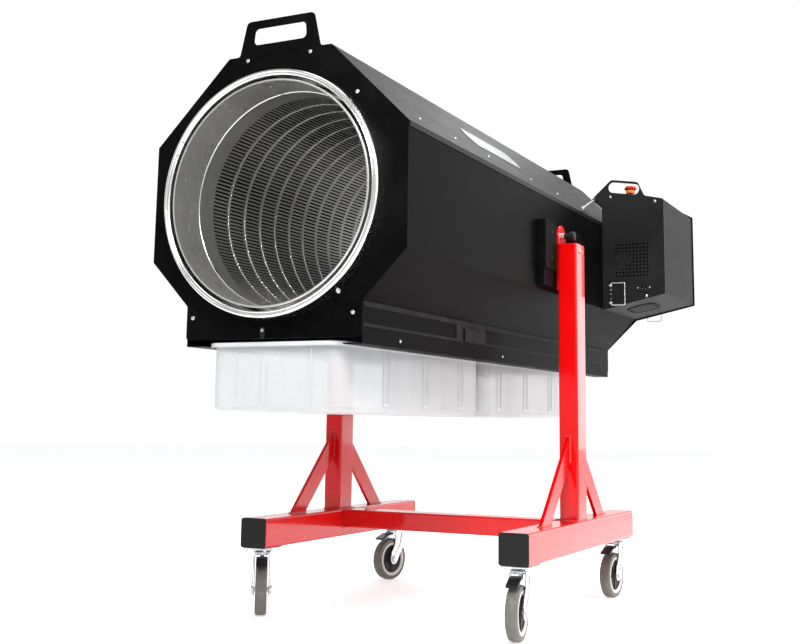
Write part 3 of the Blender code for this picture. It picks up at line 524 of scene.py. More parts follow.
class Shape:
    """Collects closed shells, each with its own finish, and makes one mesh of them."""

    def __init__(self):
        self.verts, self.faces, self.tags, self.finishes = [], [], [], []

    def tag(self, name):
        if name not in self.finishes:
            self.finishes.append(name)
        return self.finishes.index(name)

    def add(self, verts, faces, name, where=FLAT):
        base, t = len(self.verts), self.tag(name)
        self.verts += [where @ Vector(v) for v in verts]
        self.faces += [[base + i for i in f] for f in faces]
        self.tags += [t] * len(faces)

    def prism(self, outline, depth, name, where=FLAT, holes=(), edge=0, steps=2):
        """Flat outline with holes, from z 0 to z depth of its own place, its rims rounded by edge."""
        loops = [outline if area(outline) > 0 else outline[::-1]] + [h if area(h) < 0 else h[::-1] for h in holes]
        edge = min(edge, depth * 0.45)
        # (inset, height) from the bottom rim up to the top rim
        turns = [math.pi / 2 * k / steps for k in range(steps + 1)] if edge else [math.pi / 2]
        bottom = [(edge * (1 - math.sin(t)), edge * (1 - math.cos(t))) for t in turns]
        line = bottom + [(i, depth - h) for i, h in bottom[::-1]]
        verts, faces, caps = [], [], []
        for loop in loops:
            n = len(loop)
            start = len(verts)
            for by, height in line:
                ring = inset(loop, by) if by else loop
                verts += [(x, y, height) for x, y in ring]
            for k in range(len(line) - 1):
                a = start + k * n
                faces += [(a + i, a + (i + 1) % n, a + n + (i + 1) % n, a + n + i) for i in range(n)]
            caps.append((start, start + (len(line) - 1) * n, n))
        rings = [[Vector(verts[s + i]) for i in range(n)] for s, _, n in caps]
        low = [s + i for s, _, n in caps for i in range(n)]
        high = [e + i for _, e, n in caps for i in range(n)]
        if len(loops) == 1:
            faces += [low[::-1], high]
        else:
            for tri in tessellate_polygon(rings):
                faces += [[low[i] for i in tri[::-1]], [high[i] for i in tri]]
        self.add(verts, faces, name, where)

    def lathe(self, profile, name, where=FLAT, sides=64, ring=True):
        """(radius, height) pairs turned about z. An open profile starts and ends on the axis."""
        verts, rows = [], []
        for r, z in profile:
            if r < 1e-9:
                rows.append([len(verts)])
                verts.append((0, 0, z))
            else:
                rows.append(list(range(len(verts), len(verts) + sides)))
                verts += [(x, y, z) for x, y in circle(r, sides=sides)]
        pairs = zip(rows, rows[1:] + rows[:1] if ring else rows[1:])
        faces = []
        for a, b in pairs:
            for k in range(sides):
                j = (k + 1) % sides
                if len(a) == 1:
                    faces.append((a[0], b[j], b[k]))
                elif len(b) == 1:
                    faces.append((a[k], a[j], b[0]))
                else:
                    faces.append((a[k], a[j], b[j], b[k]))
        self.add(verts, faces, name, where)

    def rod(self, radius, start, end, name, sides=24, edge=0):
        a, b = Vector(start), Vector(end)
        turn = (b - a).to_track_quat("Z", "Y").to_matrix().to_4x4()
        length = (b - a).length
        e = min(edge, radius * 0.5, length * 0.4)
        rim = [(radius - e, 0), (radius - e * 0.3, e * 0.3), (radius, e)] if e else [(radius, 0)]
        line = [(0, 0), *rim, *((x, length - y) for x, y in rim[::-1]), (0, length)]
        self.lathe(line, name, Matrix.Translation(a) @ turn, sides, ring=False)

    def wire(self, points, radius, name, sides=10, where=FLAT):
        """Round wire through the points, with closed ends."""
        pts = [Vector(p) for p in points]
        verts = []
        side = None
        for i, p in enumerate(pts):
            way = (pts[min(i + 1, len(pts) - 1)] - pts[max(i - 1, 0)]).normalized()
            if side is None:
                side = way.orthogonal().normalized()
            side = (side - way * side.dot(way)).normalized()
            up = way.cross(side)
            verts += [p + side * x + up * y for x, y in circle(radius, sides=sides)]
        self.loft([verts[i:i + sides] for i in range(0, len(verts), sides)], name, where)

    def loft(self, rings, name, where=FLAT):
        """Closed skin through rings of equal count; the first and last are filled."""
        n = len(rings[0])
        verts = [v for ring in rings for v in ring]
        faces = [(r * n + i, r * n + (i + 1) % n, (r + 1) * n + (i + 1) % n,
                (r + 1) * n + i) for r in range(len(rings) - 1) for i in range(n)]
        faces += [list(range(n))[::-1], list(range((len(rings) - 1) * n, len(rings) * n))]
        self.add(verts, faces, name, where)

    def mesh(self, name, offset=AT):
        """The shells as one mesh with outward faces."""
        me = bpy.data.meshes.new(name)
        me.from_pydata([tuple(v + offset) for v in self.verts], [], self.faces)
        for look in self.finishes:
            me.materials.append(finish(look))
        me.polygons.foreach_set("material_index", self.tags)
        bm = bmesh.new()
        bm.from_mesh(me)
        bmesh.ops.remove_doubles(bm, verts=bm.verts, dist=1e-7)
        bmesh.ops.recalc_face_normals(bm, faces=bm.faces)
        bm.to_mesh(me)
        bm.free()
        return me

    def build(self, piece, body, stands_for=(), angle=32.0):
        """Places the mesh from the stand's centre, riding on its body."""
        return settle(piece, self.mesh(piece), body, stands_for, angle)


def settle(piece, me, body, stands_for=(), angle=32.0):
    """Puts a finished mesh in the scene as a piece on its body."""
    me.name = piece
    me.polygons.foreach_set("use_smooth", [True] * len(me.polygons))
    me.set_sharp_from_angle(angle=math.radians(angle))
    ob = bpy.data.objects.new(piece, me)
    bpy.context.scene.collection.objects.link(ob)
    mod = ob.modifiers.new("flat faces", "WEIGHTED_NORMAL")
    mod.keep_sharp = True
    mod.weight = 50
    if stands_for:
        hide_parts(*stands_for)
    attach(ob, body)
    return ob


def dress(node, name):
    """Gives a carried-over CAD node its finish."""
    me = frame["nodes"][node].data
    if not me.materials:
        me.materials.append(finish(name))
    for i in range(len(me.materials)):
        me.materials[i] = finish(name)


# ---- geometry nodes
def new_tree(name, inputs):
    """A geometry tree with the named inputs and one geometry output."""
    tree = bpy.data.node_groups.new(name, "GeometryNodeTree")
    tree.interface.new_socket(name="Geometry", in_out="INPUT", socket_type="NodeSocketGeometry")
    for label, kind, value in inputs:
        socket = tree.interface.new_socket(name=label, in_out="INPUT", socket_type="NodeSocket" + kind)
        if value is not None:
            socket.default_value = value
    tree.interface.new_socket(name="Geometry", in_out="OUTPUT", socket_type="NodeSocketGeometry")
    g = Graph(tree)
    entry = g.node("NodeGroupInput")
    return g, entry


def close_tree(g, geometry, material):
    """Ends a tree in plain geometry with its finish set."""
    real = g.node("GeometryNodeRealizeInstances", None, {0: geometry})
    done = g.node("GeometryNodeSetMaterial", None, {"Geometry": real, "Material": material})
    g.end("NodeGroupOutput", done)
    return g.tree


def run_tree(tree, source, **inputs):
    """Runs the tree on a mesh and returns the result as a plain mesh."""
    ob = bpy.data.objects.new("source", source)
    bpy.context.scene.collection.objects.link(ob)
    mod = ob.modifiers.new("nodes", "NODES")
    mod.node_group = tree
    keys = {s.name.replace(" ", "_").lower(): s.identifier for s in tree.interface.items_tree if s.in_out == "INPUT"}
    for label, value in inputs.items():
        mod[keys[label]] = value
    graph = bpy.context.evaluated_depsgraph_get()
    me = bpy.data.meshes.new_from_object(ob.evaluated_get(graph), depsgraph=graph)
    ob.modifiers.remove(mod)
    bpy.data.objects.remove(ob, do_unlink=True)
    if not me.polygons:
        raise RuntimeError(f"{tree.name} made nothing")
    return me


def helper(name, me):
    """An object that trees can instance and that is removed at the end."""
    ob = bpy.data.objects.new(name, me)
    bpy.context.scene.collection.objects.link(ob)
    ob.hide_render = True
    HELPERS.append(ob)
    return ob


def scatter_tree():
    """Sets a part on each point, its z along the point's aim, turned about it at random."""
    g, entry = new_tree("Parts on points", [("Part", "Object", None), ("Turn", "Float", 0), ("Seed", "Int", 7),
            ("Finish", "Material", None)])
    aim = g.node("GeometryNodeInputNamedAttribute", {"data_type": "FLOAT_VECTOR"}, {"Name": "aim"})
    size = g.node("GeometryNodeInputNamedAttribute", {"data_type": "FLOAT"}, {"Name": "size"})
    facing = g.node("FunctionNodeAlignRotationToVector", {"axis": "Z"}, {"Vector": aim})
    turn = g.node("FunctionNodeRandomValue", {"data_type": "FLOAT"}, {2: 0, 3: entry.out("Turn"),
            "Seed": entry.out("Seed")}, out=1)
    spin = g.node("FunctionNodeAxisAngleToRotation", None, {"Axis": (0, 0, 1.0), "Angle": turn})
    both = g.node("FunctionNodeRotateRotation", {"rotation_space": "LOCAL"}, {"Rotation": facing, "Rotate By": spin})
    part = g.node("GeometryNodeObjectInfo", {"transform_space": "ORIGINAL"}, {"Object": entry.out("Part")},
            out="Geometry")
    put = g.node("GeometryNodeInstanceOnPoints", None,
                 {"Points": entry.out("Geometry"), "Instance": part, "Rotation": both, "Scale": size})
    return close_tree(g, put, entry.out("Finish"))


def cell_tree():
    """Joins flat cells into one perforated sheet, rolled round the y axis if it has a radius."""
    g, entry = new_tree("Perforated sheet", [
        ("Cell", "Object", None), ("Columns", "Int", 10), ("Rows", "Int", 10), ("Column pitch", "Float", 0.01),
        ("Row pitch", "Float", 0.01),
        ("Radius", "Float", 0), ("Finish", "Material", None)])
    cols, rows = entry.out("Columns"), entry.out("Rows")
    wide, deep = entry.out("Column pitch"), entry.out("Row pitch")
    count = cols * rows
    points = g.node("GeometryNodePoints", None, {"Count": count})
    index = g.node("GeometryNodeInputIndex")
    row = (index / cols + 0.0001).apply("FLOOR")
    column = index - row * cols
    at = g.node("ShaderNodeCombineXYZ", None, {0: (column + 0.5) * wide, 1: (row + 0.5) * deep, 2: 0})
    points = g.node("GeometryNodeSetPosition", None, {"Geometry": points, "Position": at})
    part = g.node("GeometryNodeObjectInfo", {"transform_space": "ORIGINAL"}, {"Object": entry.out("Cell")},
            out="Geometry")
    put = g.node("GeometryNodeInstanceOnPoints", None, {"Points": points, "Instance": part})
    put = g.node("GeometryNodeRealizeInstances", None, {0: put})
    pos = g.node("GeometryNodeInputPosition")
    x, y, z = (g.axis(pos, n) for n in "XYZ")
    radius = entry.out("Radius")
    angle = x / radius.apply("MAXIMUM", 0.001)
    out = radius + z
    rolled = g.node("ShaderNodeCombineXYZ", None, {0: out * angle.apply("COSINE"), 1: y, 2: out * angle.apply("SINE")})
    curved = radius > 0
    put = g.node("GeometryNodeSetPosition", None, {"Geometry": put, "Selection": curved, "Position": rolled})
    put = g.node("GeometryNodeMergeByDistance", None, {"Geometry": put, "Distance": 0.00002})
    return close_tree(g, put, entry.out("Finish"))


def bead_tree():
    """Overlapping beads of random size along the given edges, as a weld run."""
    g, entry = new_tree("Weld run", [("Half width", "Float", 0.003), ("Step", "Float", 0.0028), ("Seed", "Int", 3),
            ("Finish", "Material", None)])
    half = entry.out("Half width")
    run = g.node("GeometryNodeMeshToCurve", None, {"Mesh": entry.out("Geometry")})
    points = g.node("GeometryNodeCurveToPoints", {"mode": "LENGTH"}, {"Curve": run, "Length": entry.out("Step")})
    ball = g.node("GeometryNodeMeshUVSphere", None, {"Segments": 8, "Rings": 5, "Radius": half})
    size = g.node("FunctionNodeRandomValue", {"data_type": "FLOAT"}, {2: 0.85, 3: 1.12, "Seed": entry.out("Seed")},
            out=1)
    scale = g.node("ShaderNodeCombineXYZ", None, {0: size, 1: size, 2: size})
    put = g.node("GeometryNodeInstanceOnPoints", None, {"Points": points, "Instance": ball,
            "Rotation": points.out("Rotation"), "Scale": scale})
    return close_tree(g, put, entry.out("Finish"))


TREES = {}
HELPERS = []


def tree(name):
    if name not in TREES:
        TREES[name] = {"scatter": scatter_tree, "cells": cell_tree, "beads": bead_tree}[name]()
    return TREES[name]


def point_mesh(places):
    """(point, aim, size) as a mesh of loose points."""
    me = bpy.data.meshes.new("points")
    me.from_pydata([tuple(Vector(p) + AT) for p, _, _ in places], [], [])
    me.attributes.new("aim", "FLOAT_VECTOR", "POINT")
    me.attributes.new("size", "FLOAT", "POINT")
    aim, size = me.attributes["aim"], me.attributes["size"]
    for i, (_, a, s) in enumerate(places):
        aim.data[i].vector = Vector(a).normalized()
        size.data[i].value = s
    return me


def scatter(piece, make, places, name, body, turn=0, seed=7, angle=32.0):
    me = run_tree(tree("scatter"), point_mesh(places), part=part(make), turn=turn, seed=seed, finish=finish(name))
    return settle(piece, me, body, (), angle)


PARTS = {}


def pan_head():
    """Pan head screw with a cross recess and its washer."""
    r = sizes().screw_head
    s = Shape()
    s.lathe([(0, -0.0012), (r * 1.12, -0.0012), (r * 1.12, 0.0002), (r * 1.06, 0.0005), (0, 0.0005)], "zinc", sides=20,
            ring=False)
    head = ((0, 0), (1, 0), (1, 0.22), (0.9, 0.42), (0.62, 0.56), (0.36, 0.6), (0.3, 0.3), (0, 0.22))
    s.lathe([(r * a, r * b) for a, b in head], "zinc", sides=20, ring=False)
    for k in (0, 1):
        s.prism(rect(r, r * 0.16), r * 0.64, "zinc", turned(k * math.pi / 2, "Z") @ shift(0, 0, r * 0.05),
                edge=0.0001, steps=1)
    return s


def hex_head():
    """Hexagon head on a flat washer, with the screw's end above it."""
    s = Shape()
    s.lathe(mm(0, -1, 7.8, -1, 7.8, 1, 7.4, 1.4, 0, 1.4), "zinc", sides=24, ring=False)
    s.prism(circle(0.0058, sides=6), 0.0042, "zinc", shift(0, 0, 0.001), edge=0.0005)
    s.lathe(mm(0, 3, 3, 3, 3, 6.6, 2.5, 7.2, 0, 7.2), "zinc", sides=16, ring=False)
    return s


def weld_spot():
    """One flat spot of weld."""
    s = Shape()
    s.lathe(mm(0, 1, 1, 0.6, 1.4, -0.3), "bright steel", sides=6, ring=False)
    s.faces.append([len(s.verts) - 6 + i for i in range(6)][::-1])
    s.tags.append(0)
    return s


def part(make):
    """The helper object of a head, made the first time it is asked for."""
    if make not in PARTS:
        me = make().mesh(make.__name__, Vector())
        me.materials.clear()
        PARTS[make] = helper(make.__name__, me)
    return PARTS[make]


def pierced(columns, rows, pitch, hole, thick, name, radius=0):
    """Sheet of cells, each with the same hole, flat or rolled round the y axis."""
    square, k = rect(*pitch), len(hole)
    verts = [(x, y, z) for z in (0, thick) for x, y in square + hole]
    order = [0, 1, 2, 3] + [4 + k - 1 - i for i in range(k)]
    faces = []
    for tri in tessellate_polygon([[Vector((x, y, 0)) for x, y in loop] for loop in (square, hole[::-1])]):
        a, b, c = (order[i] for i in tri)
        if (Vector(verts[b]) - Vector(verts[a])).cross(Vector(verts[c]) - Vector(verts[a])).z < 0:
            b, c = c, b
        faces += [(a, c, b), tuple(i + 4 + k for i in (a, b, c))]
    for i in range(k):
        a, b = 4 + i, 4 + (i + 1) % k
        faces.append((a, a + 4 + k, b + 4 + k, b))
    cell = bpy.data.meshes.new("cell")
    cell.from_pydata(verts, [], faces)
    return run_tree(tree("cells"), point_mesh([((0, 0, 0), (0, 0, 1), 1.0)]), cell=helper("cell", cell),
            columns=columns, rows=rows, column_pitch=pitch[0], row_pitch=pitch[1], radius=radius, finish=finish(name))


# ---- operators
class TUMBLER_OT_stage(bpy.types.Operator):
    """Floor, soft studio light and camera"""
    bl_idname = "tumbler.stage"
    bl_label = "Stage"

    def execute(self, context):
        scene = context.scene
        s = Shape()
        s.prism(rounded(rect(30.0, 30.0), 3.0, 6), 0.02, "floor", shift(0, 4.0, -0.0205))
        floor = bpy.data.objects.new("floor", s.mesh("floor", Vector()))
        scene.collection.objects.link(floor)

        world = bpy.data.worlds.new("studio")
        world.use_nodes = True
        world.node_tree.nodes.clear()
        g = Graph(world.node_tree)
        way = g.node("ShaderNodeTexCoord", out="Generated")
        high = g.between(g.axis(way, "Z"), 0.38, 0.9)
        far = g.between(g.axis(way, "Y"), -0.8, 0.15, 0.58, 1.0)
        sky = g.blend(high, (1.0, 1.0, 1.0), (0.4, 0.41, 0.43))
        # a wide softbox behind and to the right, which the gloss of the stand picks up
        across = g.axis(way, "X")
        box = g.between(across, 0.16, 0.24) * g.between(across, 0.46, 0.56, 1.0, 0)
        box = box * g.between(g.axis(way, "Y"), 0.6, 0.75)
        low = g.between(g.axis(way, "Z"), 0.3, 0.42, 1.0, 0)
        back = g.node("ShaderNodeBackground", None, {"Color": sky, "Strength": far * 1.04 + box * low * 2.3})
        g.end("ShaderNodeOutputWorld", back)
        scene.world = world
        scene.view_settings.view_transform = "Standard"

        for name, at, to, size, watts in LAMPS:
            lamp = bpy.data.lights.new(name, "AREA")
            lamp.shape = "RECTANGLE"
            lamp.size, lamp.size_y = size
            lamp.energy = watts
            ob = bpy.data.objects.new(name, lamp)
            ob.location = Vector(at) + AT
            ob.rotation_euler = (Vector(at) - Vector(to)).to_track_quat("Z", "Y").to_euler()
            ob.visible_camera = False
            scene.collection.objects.link(ob)

        yaw, pitch, roll = (math.radians(a) for a in VIEW_TURN)
        ahead = Vector((-math.sin(yaw) * math.cos(pitch), math.cos(yaw) * math.cos(pitch), math.sin(pitch)))
        right = Vector((math.cos(yaw), math.sin(yaw), 0))
        up = right.cross(ahead)
        right, up = right * math.cos(roll) + up * math.sin(roll), up * math.cos(roll) - right * math.sin(roll)
        data = bpy.data.cameras.new("camera")
        data.sensor_width = 36.0
        data.lens = LENS
        data.shift_x, data.shift_y = LENS_SHIFT
        data.clip_end = 100.0
        cam = bpy.data.objects.new("camera", data)
        scene.collection.objects.link(cam)
        turn = Matrix((right, up, -ahead)).transposed().to_4x4()
        cam.matrix_world = Matrix.Translation(Vector(VIEW_AT) + AT) @ turn
        scene.camera = cam
        return {"FINISHED"}


class TUMBLER_OT_stand(bpy.types.Operator):
    """Welded stand: base rails, cross beam, posts, ears and braces, with its end caps"""
    bl_idname = "tumbler.stand"
    bl_label = "Stand"

    def execute(self, context):
        p = sizes()
        mid = RAIL_TOP - TUBE / 2
        beam = span("cross_beam")
        wide, high, beam_z = beam[1].y - beam[0].y, beam[1].z - beam[0].z, (beam[0].z + beam[1].z) / 2
        s = Shape()
        for side in (-1, 1):
            x = side * RAIL_X
            s.prism(rounded(rect(TUBE, TUBE), p.tube_corner, 5), 2 * RAIL[1].y, "red paint",
                    shift(x, RAIL[1].y, mid) @ FACING_FRONT, edge=0.0008)
            s.prism(rounded(rect(POST_W, POST_D), p.tube_corner, 5), p.post_top - RAIL_TOP - GAP, "red paint",
                    shift(x, 0, RAIL_TOP + GAP), edge=0.0016)
            for end, way in (("front", -1), ("rear", 1)):
                lo, hi = span(f"{'left' if side < 0 else 'right'}_{end}_brace")
                near, far = (hi.y, lo.y)[::-way]
                thick = 0.05 * math.sqrt(2)
                outline = [(far, lo.z), (far - way * thick, lo.z), (near, hi.z - thick), (near, hi.z)]
                s.prism(rounded(outline, 0.0012, 2), hi.x - lo.x, "red paint", shift(lo.x, 0, 0) @ FACING_SIDE,
                        edge=0.0008)
        beam_shape = rounded(rect(wide, high), 0.005, 5)
        s.prism(beam_shape, beam[1].x - beam[0].x, "red paint", shift(beam[0].x, 0, beam_z) @ FACING_SIDE, edge=0.0008)
        s.build("stand_weldment", "stand",
                ["left_base_rail", "right_base_rail", "cross_beam", "left_post", "right_post", "left_front_brace",
                 "left_rear_brace", "right_front_brace", "right_rear_brace"])

        s = Shape()
        for side, word in ((-1, "left"), (1, "right")):
            lo, hi = span(f"{word}_ear")
            top = [(EAR_R * math.cos(t), PIVOT_Z + EAR_R * math.sin(t)) for t in (math.pi * k / 24 for k in range(25))]
            outline = [(-EAR_R, lo.z), (EAR_R, lo.z)] + top
            s.prism(outline, hi.x - lo.x, "red paint", shift(lo.x, 0, 0) @ FACING_SIDE,
                    [circle(0.0066, (0, PIVOT_Z), 24)], edge=0.0012, steps=3)
        s.build("pivot_ears", "stand", ["left_ear", "right_ear"])

        s = Shape()
        for word in ("left_front", "left_rear", "right_front", "right_rear"):
            lo, hi = span(word + "_cap")
            x = (lo.x + hi.x) / 2
            out = lo.y if "front" in word else hi.y - CAP
            s.prism(rounded(rect(TUBE, TUBE), 0.0065, 5), CAP, "black plastic",
                    shift(x, out + CAP, mid) @ FACING_FRONT, edge=0.0014, steps=3)
            s.prism(rect(TUBE - 0.008, TUBE - 0.008), 0.01, "black plastic",
                    shift(x, hi.y if "front" in word else out, mid) @ FACING_FRONT)
        s.build("rail_end_caps", "stand", ["left_front_cap", "left_rear_cap", "right_front_cap",
                "right_rear_cap"])

        # weld runs: foot of each post, toes of the braces, ends of the beam, sides of the ears
        verts, edges = [], []

        def run(points, closed=False):
            base = len(verts)
            verts.extend(tuple(Vector(q) + AT) for q in points)
            edges.extend((base + i, base + i + 1) for i in range(len(points) - 1))
            if closed:
                edges.append((base + len(points) - 1, base))

        for side in (-1, 1):
            x = side * RAIL_X
            run([(x + a, b, RAIL_TOP) for a, b in rounded(rect(POST_W, POST_D), 0.006, 3)], True)
            inner = side * (RAIL_X - POST_W / 2)
            for y in (-EAR_R, EAR_R):
                run([(inner - side * 0.0005, y, PIVOT_Z - EAR_WELD), (inner - side * 0.0005, y, p.post_top - 0.003)])
            run([(inner - side * 0.0005, y, PIVOT_Z - EAR_WELD) for y in (-EAR_R, EAR_R)])
            face = side * (RAIL_X - TUBE / 2)
            run([(face, a, beam_z + b) for a, b in rounded(rect(wide, high), 0.005, 3)][:-1])
            for way in (-1, 1):
                near = POST_D / 2
                far = near + BRACE_REACH
                for dx in (-0.005, 0.005):
                    run([(x + dx, way * (far - 0.07), RAIL_TOP), (x + dx, way * far, RAIL_TOP)])
                    run([(x + dx, way * near, RAIL_TOP + 0.152), (x + dx, way * near, RAIL_TOP + BRACE_REACH)])
                run([(x - 0.005, way * far, RAIL_TOP), (x + 0.005, way * far, RAIL_TOP)])
                run([(x - 0.005, way * near, RAIL_TOP + BRACE_REACH), (x + 0.005, way * near, RAIL_TOP + BRACE_REACH)])
        me = bpy.data.meshes.new("weld_path")
        me.from_pydata(verts, edges, [])
        out = run_tree(tree("beads"), me, half_width=p.bead, step=p.bead * 1.1, seed=3, finish=finish("weld bead"))
        settle("weld_beads", out, "stand", (), 60.0)
        scatter("post_bolts", hex_head, [((side * (RAIL_X + POST_W / 2 + 0.0006), 0, 0.964), (side, 0, 0),
                0.8) for side in (-1, 1)], "drum steel", "stand", turn=ANY_TURN, seed=5)
        return {"FINISHED"}


class TUMBLER_OT_castors(bpy.types.Operator):
    """Four braked swivel castors"""
    bl_idname = "tumbler.castors"
    bl_label = "Castors"

    def execute(self, context):
        for corner in ("front_left", "front_right", "rear_left", "rear_right"):
            axis = joint(f"{corner}_wheel_spin")["axis"]
            turn = math.atan2(axis[1], axis[0])
            stem = joint(f"{corner}_swivel")["pos_m"]
            here = Matrix.Translation(Vector((stem[0], stem[1], 0)) - AT) @ turned(turn, "Z")
            axle = joint(f"{corner}_wheel_spin")["pos_m"]
            trail = math.hypot(axle[0] - stem[0], axle[1] - stem[1])
            under = span(f"{corner}_castor_plate")[1].z
            top = under - 0.0113
            r = WHEEL_R

            s = Shape()
            outline = [(0.028, top), (-0.03, top), (-0.034, top - 0.01), (-0.036, r + 0.0465), (-0.052, r + 0.0215)]
            outline += [(-trail + 0.016 * math.cos(a), r + 0.016 * math.sin(a))
                        for a in (math.radians(d) for d in range(175, 351, 16))]
            outline += [(-0.004, r + 0.0265), (0.02, r + 0.0585), (0.028, top - 0.012)]
            for x in (-FORK_W / 2, FORK_W / 2 - CHEEK):
                s.prism(outline, CHEEK, "zinc", here @ shift(x, 0, 0) @ FACING_SIDE, edge=0.0009)
                # pressed stiffening rib down the cheek
                line = [(-0.004, top - 0.012), (-0.014, r + 0.04), (-trail + 0.004, r + 0.014)]
                s.wire([(x + (0.0003 if x < 0 else 0.003), a, b) for a, b in line], 0.0026, "zinc", 8, here)
            s.prism(rounded(rect(FORK_W, 0.058), 0.004, 3), 0.0036, "zinc", here @ shift(0, -0.001, top - 0.0036),
                    edge=0.0008)
            for rad, z0, z1 in ((0.0195, top - 0.0085, top - 0.0036), (0.0255, top, top + 0.001)):
                s.lathe([(0, z0), (rad - 0.001, z0), (rad, z0 + 0.001), (rad, z1), (0, z1)], "zinc", here, 32,
                        ring=False)
            s.rod(0.0065, here @ Vector((0, 0, top - 0.016)), here @ Vector((0, 0, top - 0.008)), "zinc", 6, 0.0006)
            for x in (-1, 1):
                s.lathe(mm(6.8, 0, 13, 0, 12.4, 0.5, 6.8, 0.5), "zinc",
                        here @ shift(x * (FORK_W / 2 + 0.0001), -trail, r) @ turned(x * math.pi / 2, "Y"), 32)
            s.build(f"{corner}_castor_fork", f"{corner}_castor", [f"{corner}_fork"], 30.0)

            s = Shape()
            h = 0.015
            where = here @ shift(0, -trail, r) @ turned(math.pi / 2, "Y")
            tyre = ((0.0125, 0.001), (0.0045, 0.0002), (0.002, 0.0014), (0.0005, 0.0045), (0, 0.008))
            tyre = [(r - a, h - b) for a, b in tyre]
            tyre += [(a, -b) for a, b in tyre[::-1]]
            s.lathe(tyre + [(r - 0.014, -h + 0.004), (r - 0.014, h - 0.004)], "tread rubber", where, 72)
            for d in (1, -1):
                rim = ((0.0126, 0.0006), (0.014, 0.0001), (0.019, 0.0006), (0.0215, 0.004), (0.0126, 0.004))
                s.lathe([(r - a, d * (h - b)) for a, b in rim], "rim plastic", where, 72)
            hub = [(0.0065, h - 0.001), (0.012, h - 0.001), (0.0135, h - 0.0035), (0.015, h - 0.0075),
                    (0.038, h - 0.007), (0.0408, h - 0.0042), (r - 0.0142, h - 0.0036)]
            s.lathe(hub + [(a, -b) for a, b in hub[::-1]], "hub plastic", where, 72)
            for k in range(5):
                spoke = turned(2 * math.pi * k / 5, "Z")
                for d in (1, -1):
                    s.prism(rounded(mm(13, -2.2, 40.5, -3, 40.5, 3, 13, 2.2), 0.001, 2), 0.0034, "hub plastic",
                            where @ spoke @ shift(0, 0, (h - 0.0078) if d > 0 else (-h + 0.0044)), edge=0.0005)
            for d in (1, -1):
                leg = d * (FORK_W / 2 + GAP)
                s.prism(circle(0.01, sides=6), 0.0052, "zinc", where @ shift(0, 0, leg if d > 0 else leg - 0.0052),
                        edge=0.0008)
            s.rod(0.006, where @ Vector((0, 0, -FORK_W / 2 - 0.0002)), where @ Vector((0, 0, FORK_W / 2 + 0.0002)),
                    "zinc", 20)
            s.build(f"{corner}_castor_tyre", f"{corner}_castor_wheel", [f"{corner}_wheel"], 30.0)

            s = Shape()
            z = top - 0.0122
            side = [(-0.038, z + 0.003), (-0.038, z - 0.003), (-0.06, z - 0.006), (-0.09, z - 0.019),
                    (-0.094, z - 0.014), (-0.062, z - 0.0005)]
            s.prism(rounded(side, [0.0012, 0.0012, 0.004, 0.0015, 0.0015, 0.008], 3), 0.03, "black plastic",
                    here @ shift(-0.015, 0, 0) @ FACING_SIDE, edge=0.0012)
            for k in range(5):
                a = 0.068 + 0.0048 * k
                low = z - 0.0032 - (a - 0.062) * 0.43
                s.rod(0.0009, here @ Vector((-0.0115, -a, low + 0.0005)), here @ Vector((0.0115, -a, low + 0.0005)),
                        "black plastic", 8)
            s.build(f"{corner}_pedal", f"{corner}_brake", [f"{corner}_brake_pedal"], 34.0)

            s = Shape()
            x, y = stem[0] - AT.x, stem[1] - AT.y
            s.prism(rounded(rect(0.072, 0.088), 0.008, 4), 0.004, "zinc", shift(x, y, under - 0.004), edge=0.0008)
            s.lathe([(0, under - 0.011), (0.0215, under - 0.011), (0.025, under - 0.0098), (0.026, under - 0.007),
                    (0.024, under - 0.004), (0, under - 0.004)],
                    "zinc", shift(x, y, 0), 40, ring=False)
            s.build(f"{corner}_castor_top", "stand", [f"{corner}_castor_plate"])
            spots = [((x + a, y + b, under - 0.0042), (0, 0, -1), 0.85)
                     for a in (-0.0285, 0.0285) for b in (-0.034, 0.034)]
            scatter(f"{corner}_castor_bolts", hex_head, spots, "zinc", "stand", turn=ANY_TURN, seed=11)
        return {"FINISHED"}


def plate_outline(wing):
    top, half, corner = AXIS_Z + HALF, HALF, CORNER
    pts = [(-SKIRT_X, FOOT), (SKIRT_X, FOOT), (SKIRT_X, SKIRT_Z)]
    rad = [0.008, 0.008, 0.004]
    if wing:
        wing_top = AXIS_Z + 0.217
        pts += [(half - 0.0005, AXIS_Z - 0.1405), (WING_X, AXIS_Z - 0.0955), (WING_X, wing_top - 0.017),
                (WING_X - 0.0295, wing_top), (half + AXIS_Z + corner - wing_top, wing_top)]
        rad += [0, 0.004, 0.006, 0.006, 0.003]
    else:
        pts += [(half, AXIS_Z - corner), (half, AXIS_Z + corner)]
        rad += [0.004, 0.004]
    pts += [(corner, top), (0.106, top), (0.088, GRIP_TOP), (-0.088, GRIP_TOP), (-0.106, top), (-corner, top),
            (-half, AXIS_Z + corner), (-half, AXIS_Z - corner), (-SKIRT_X, SKIRT_Z)]
    rad += [0.01, 0.008, 0.012, 0.012, 0.008, 0.01, 0.004, 0.004, 0.004]
    return rounded(pts, rad, 6)


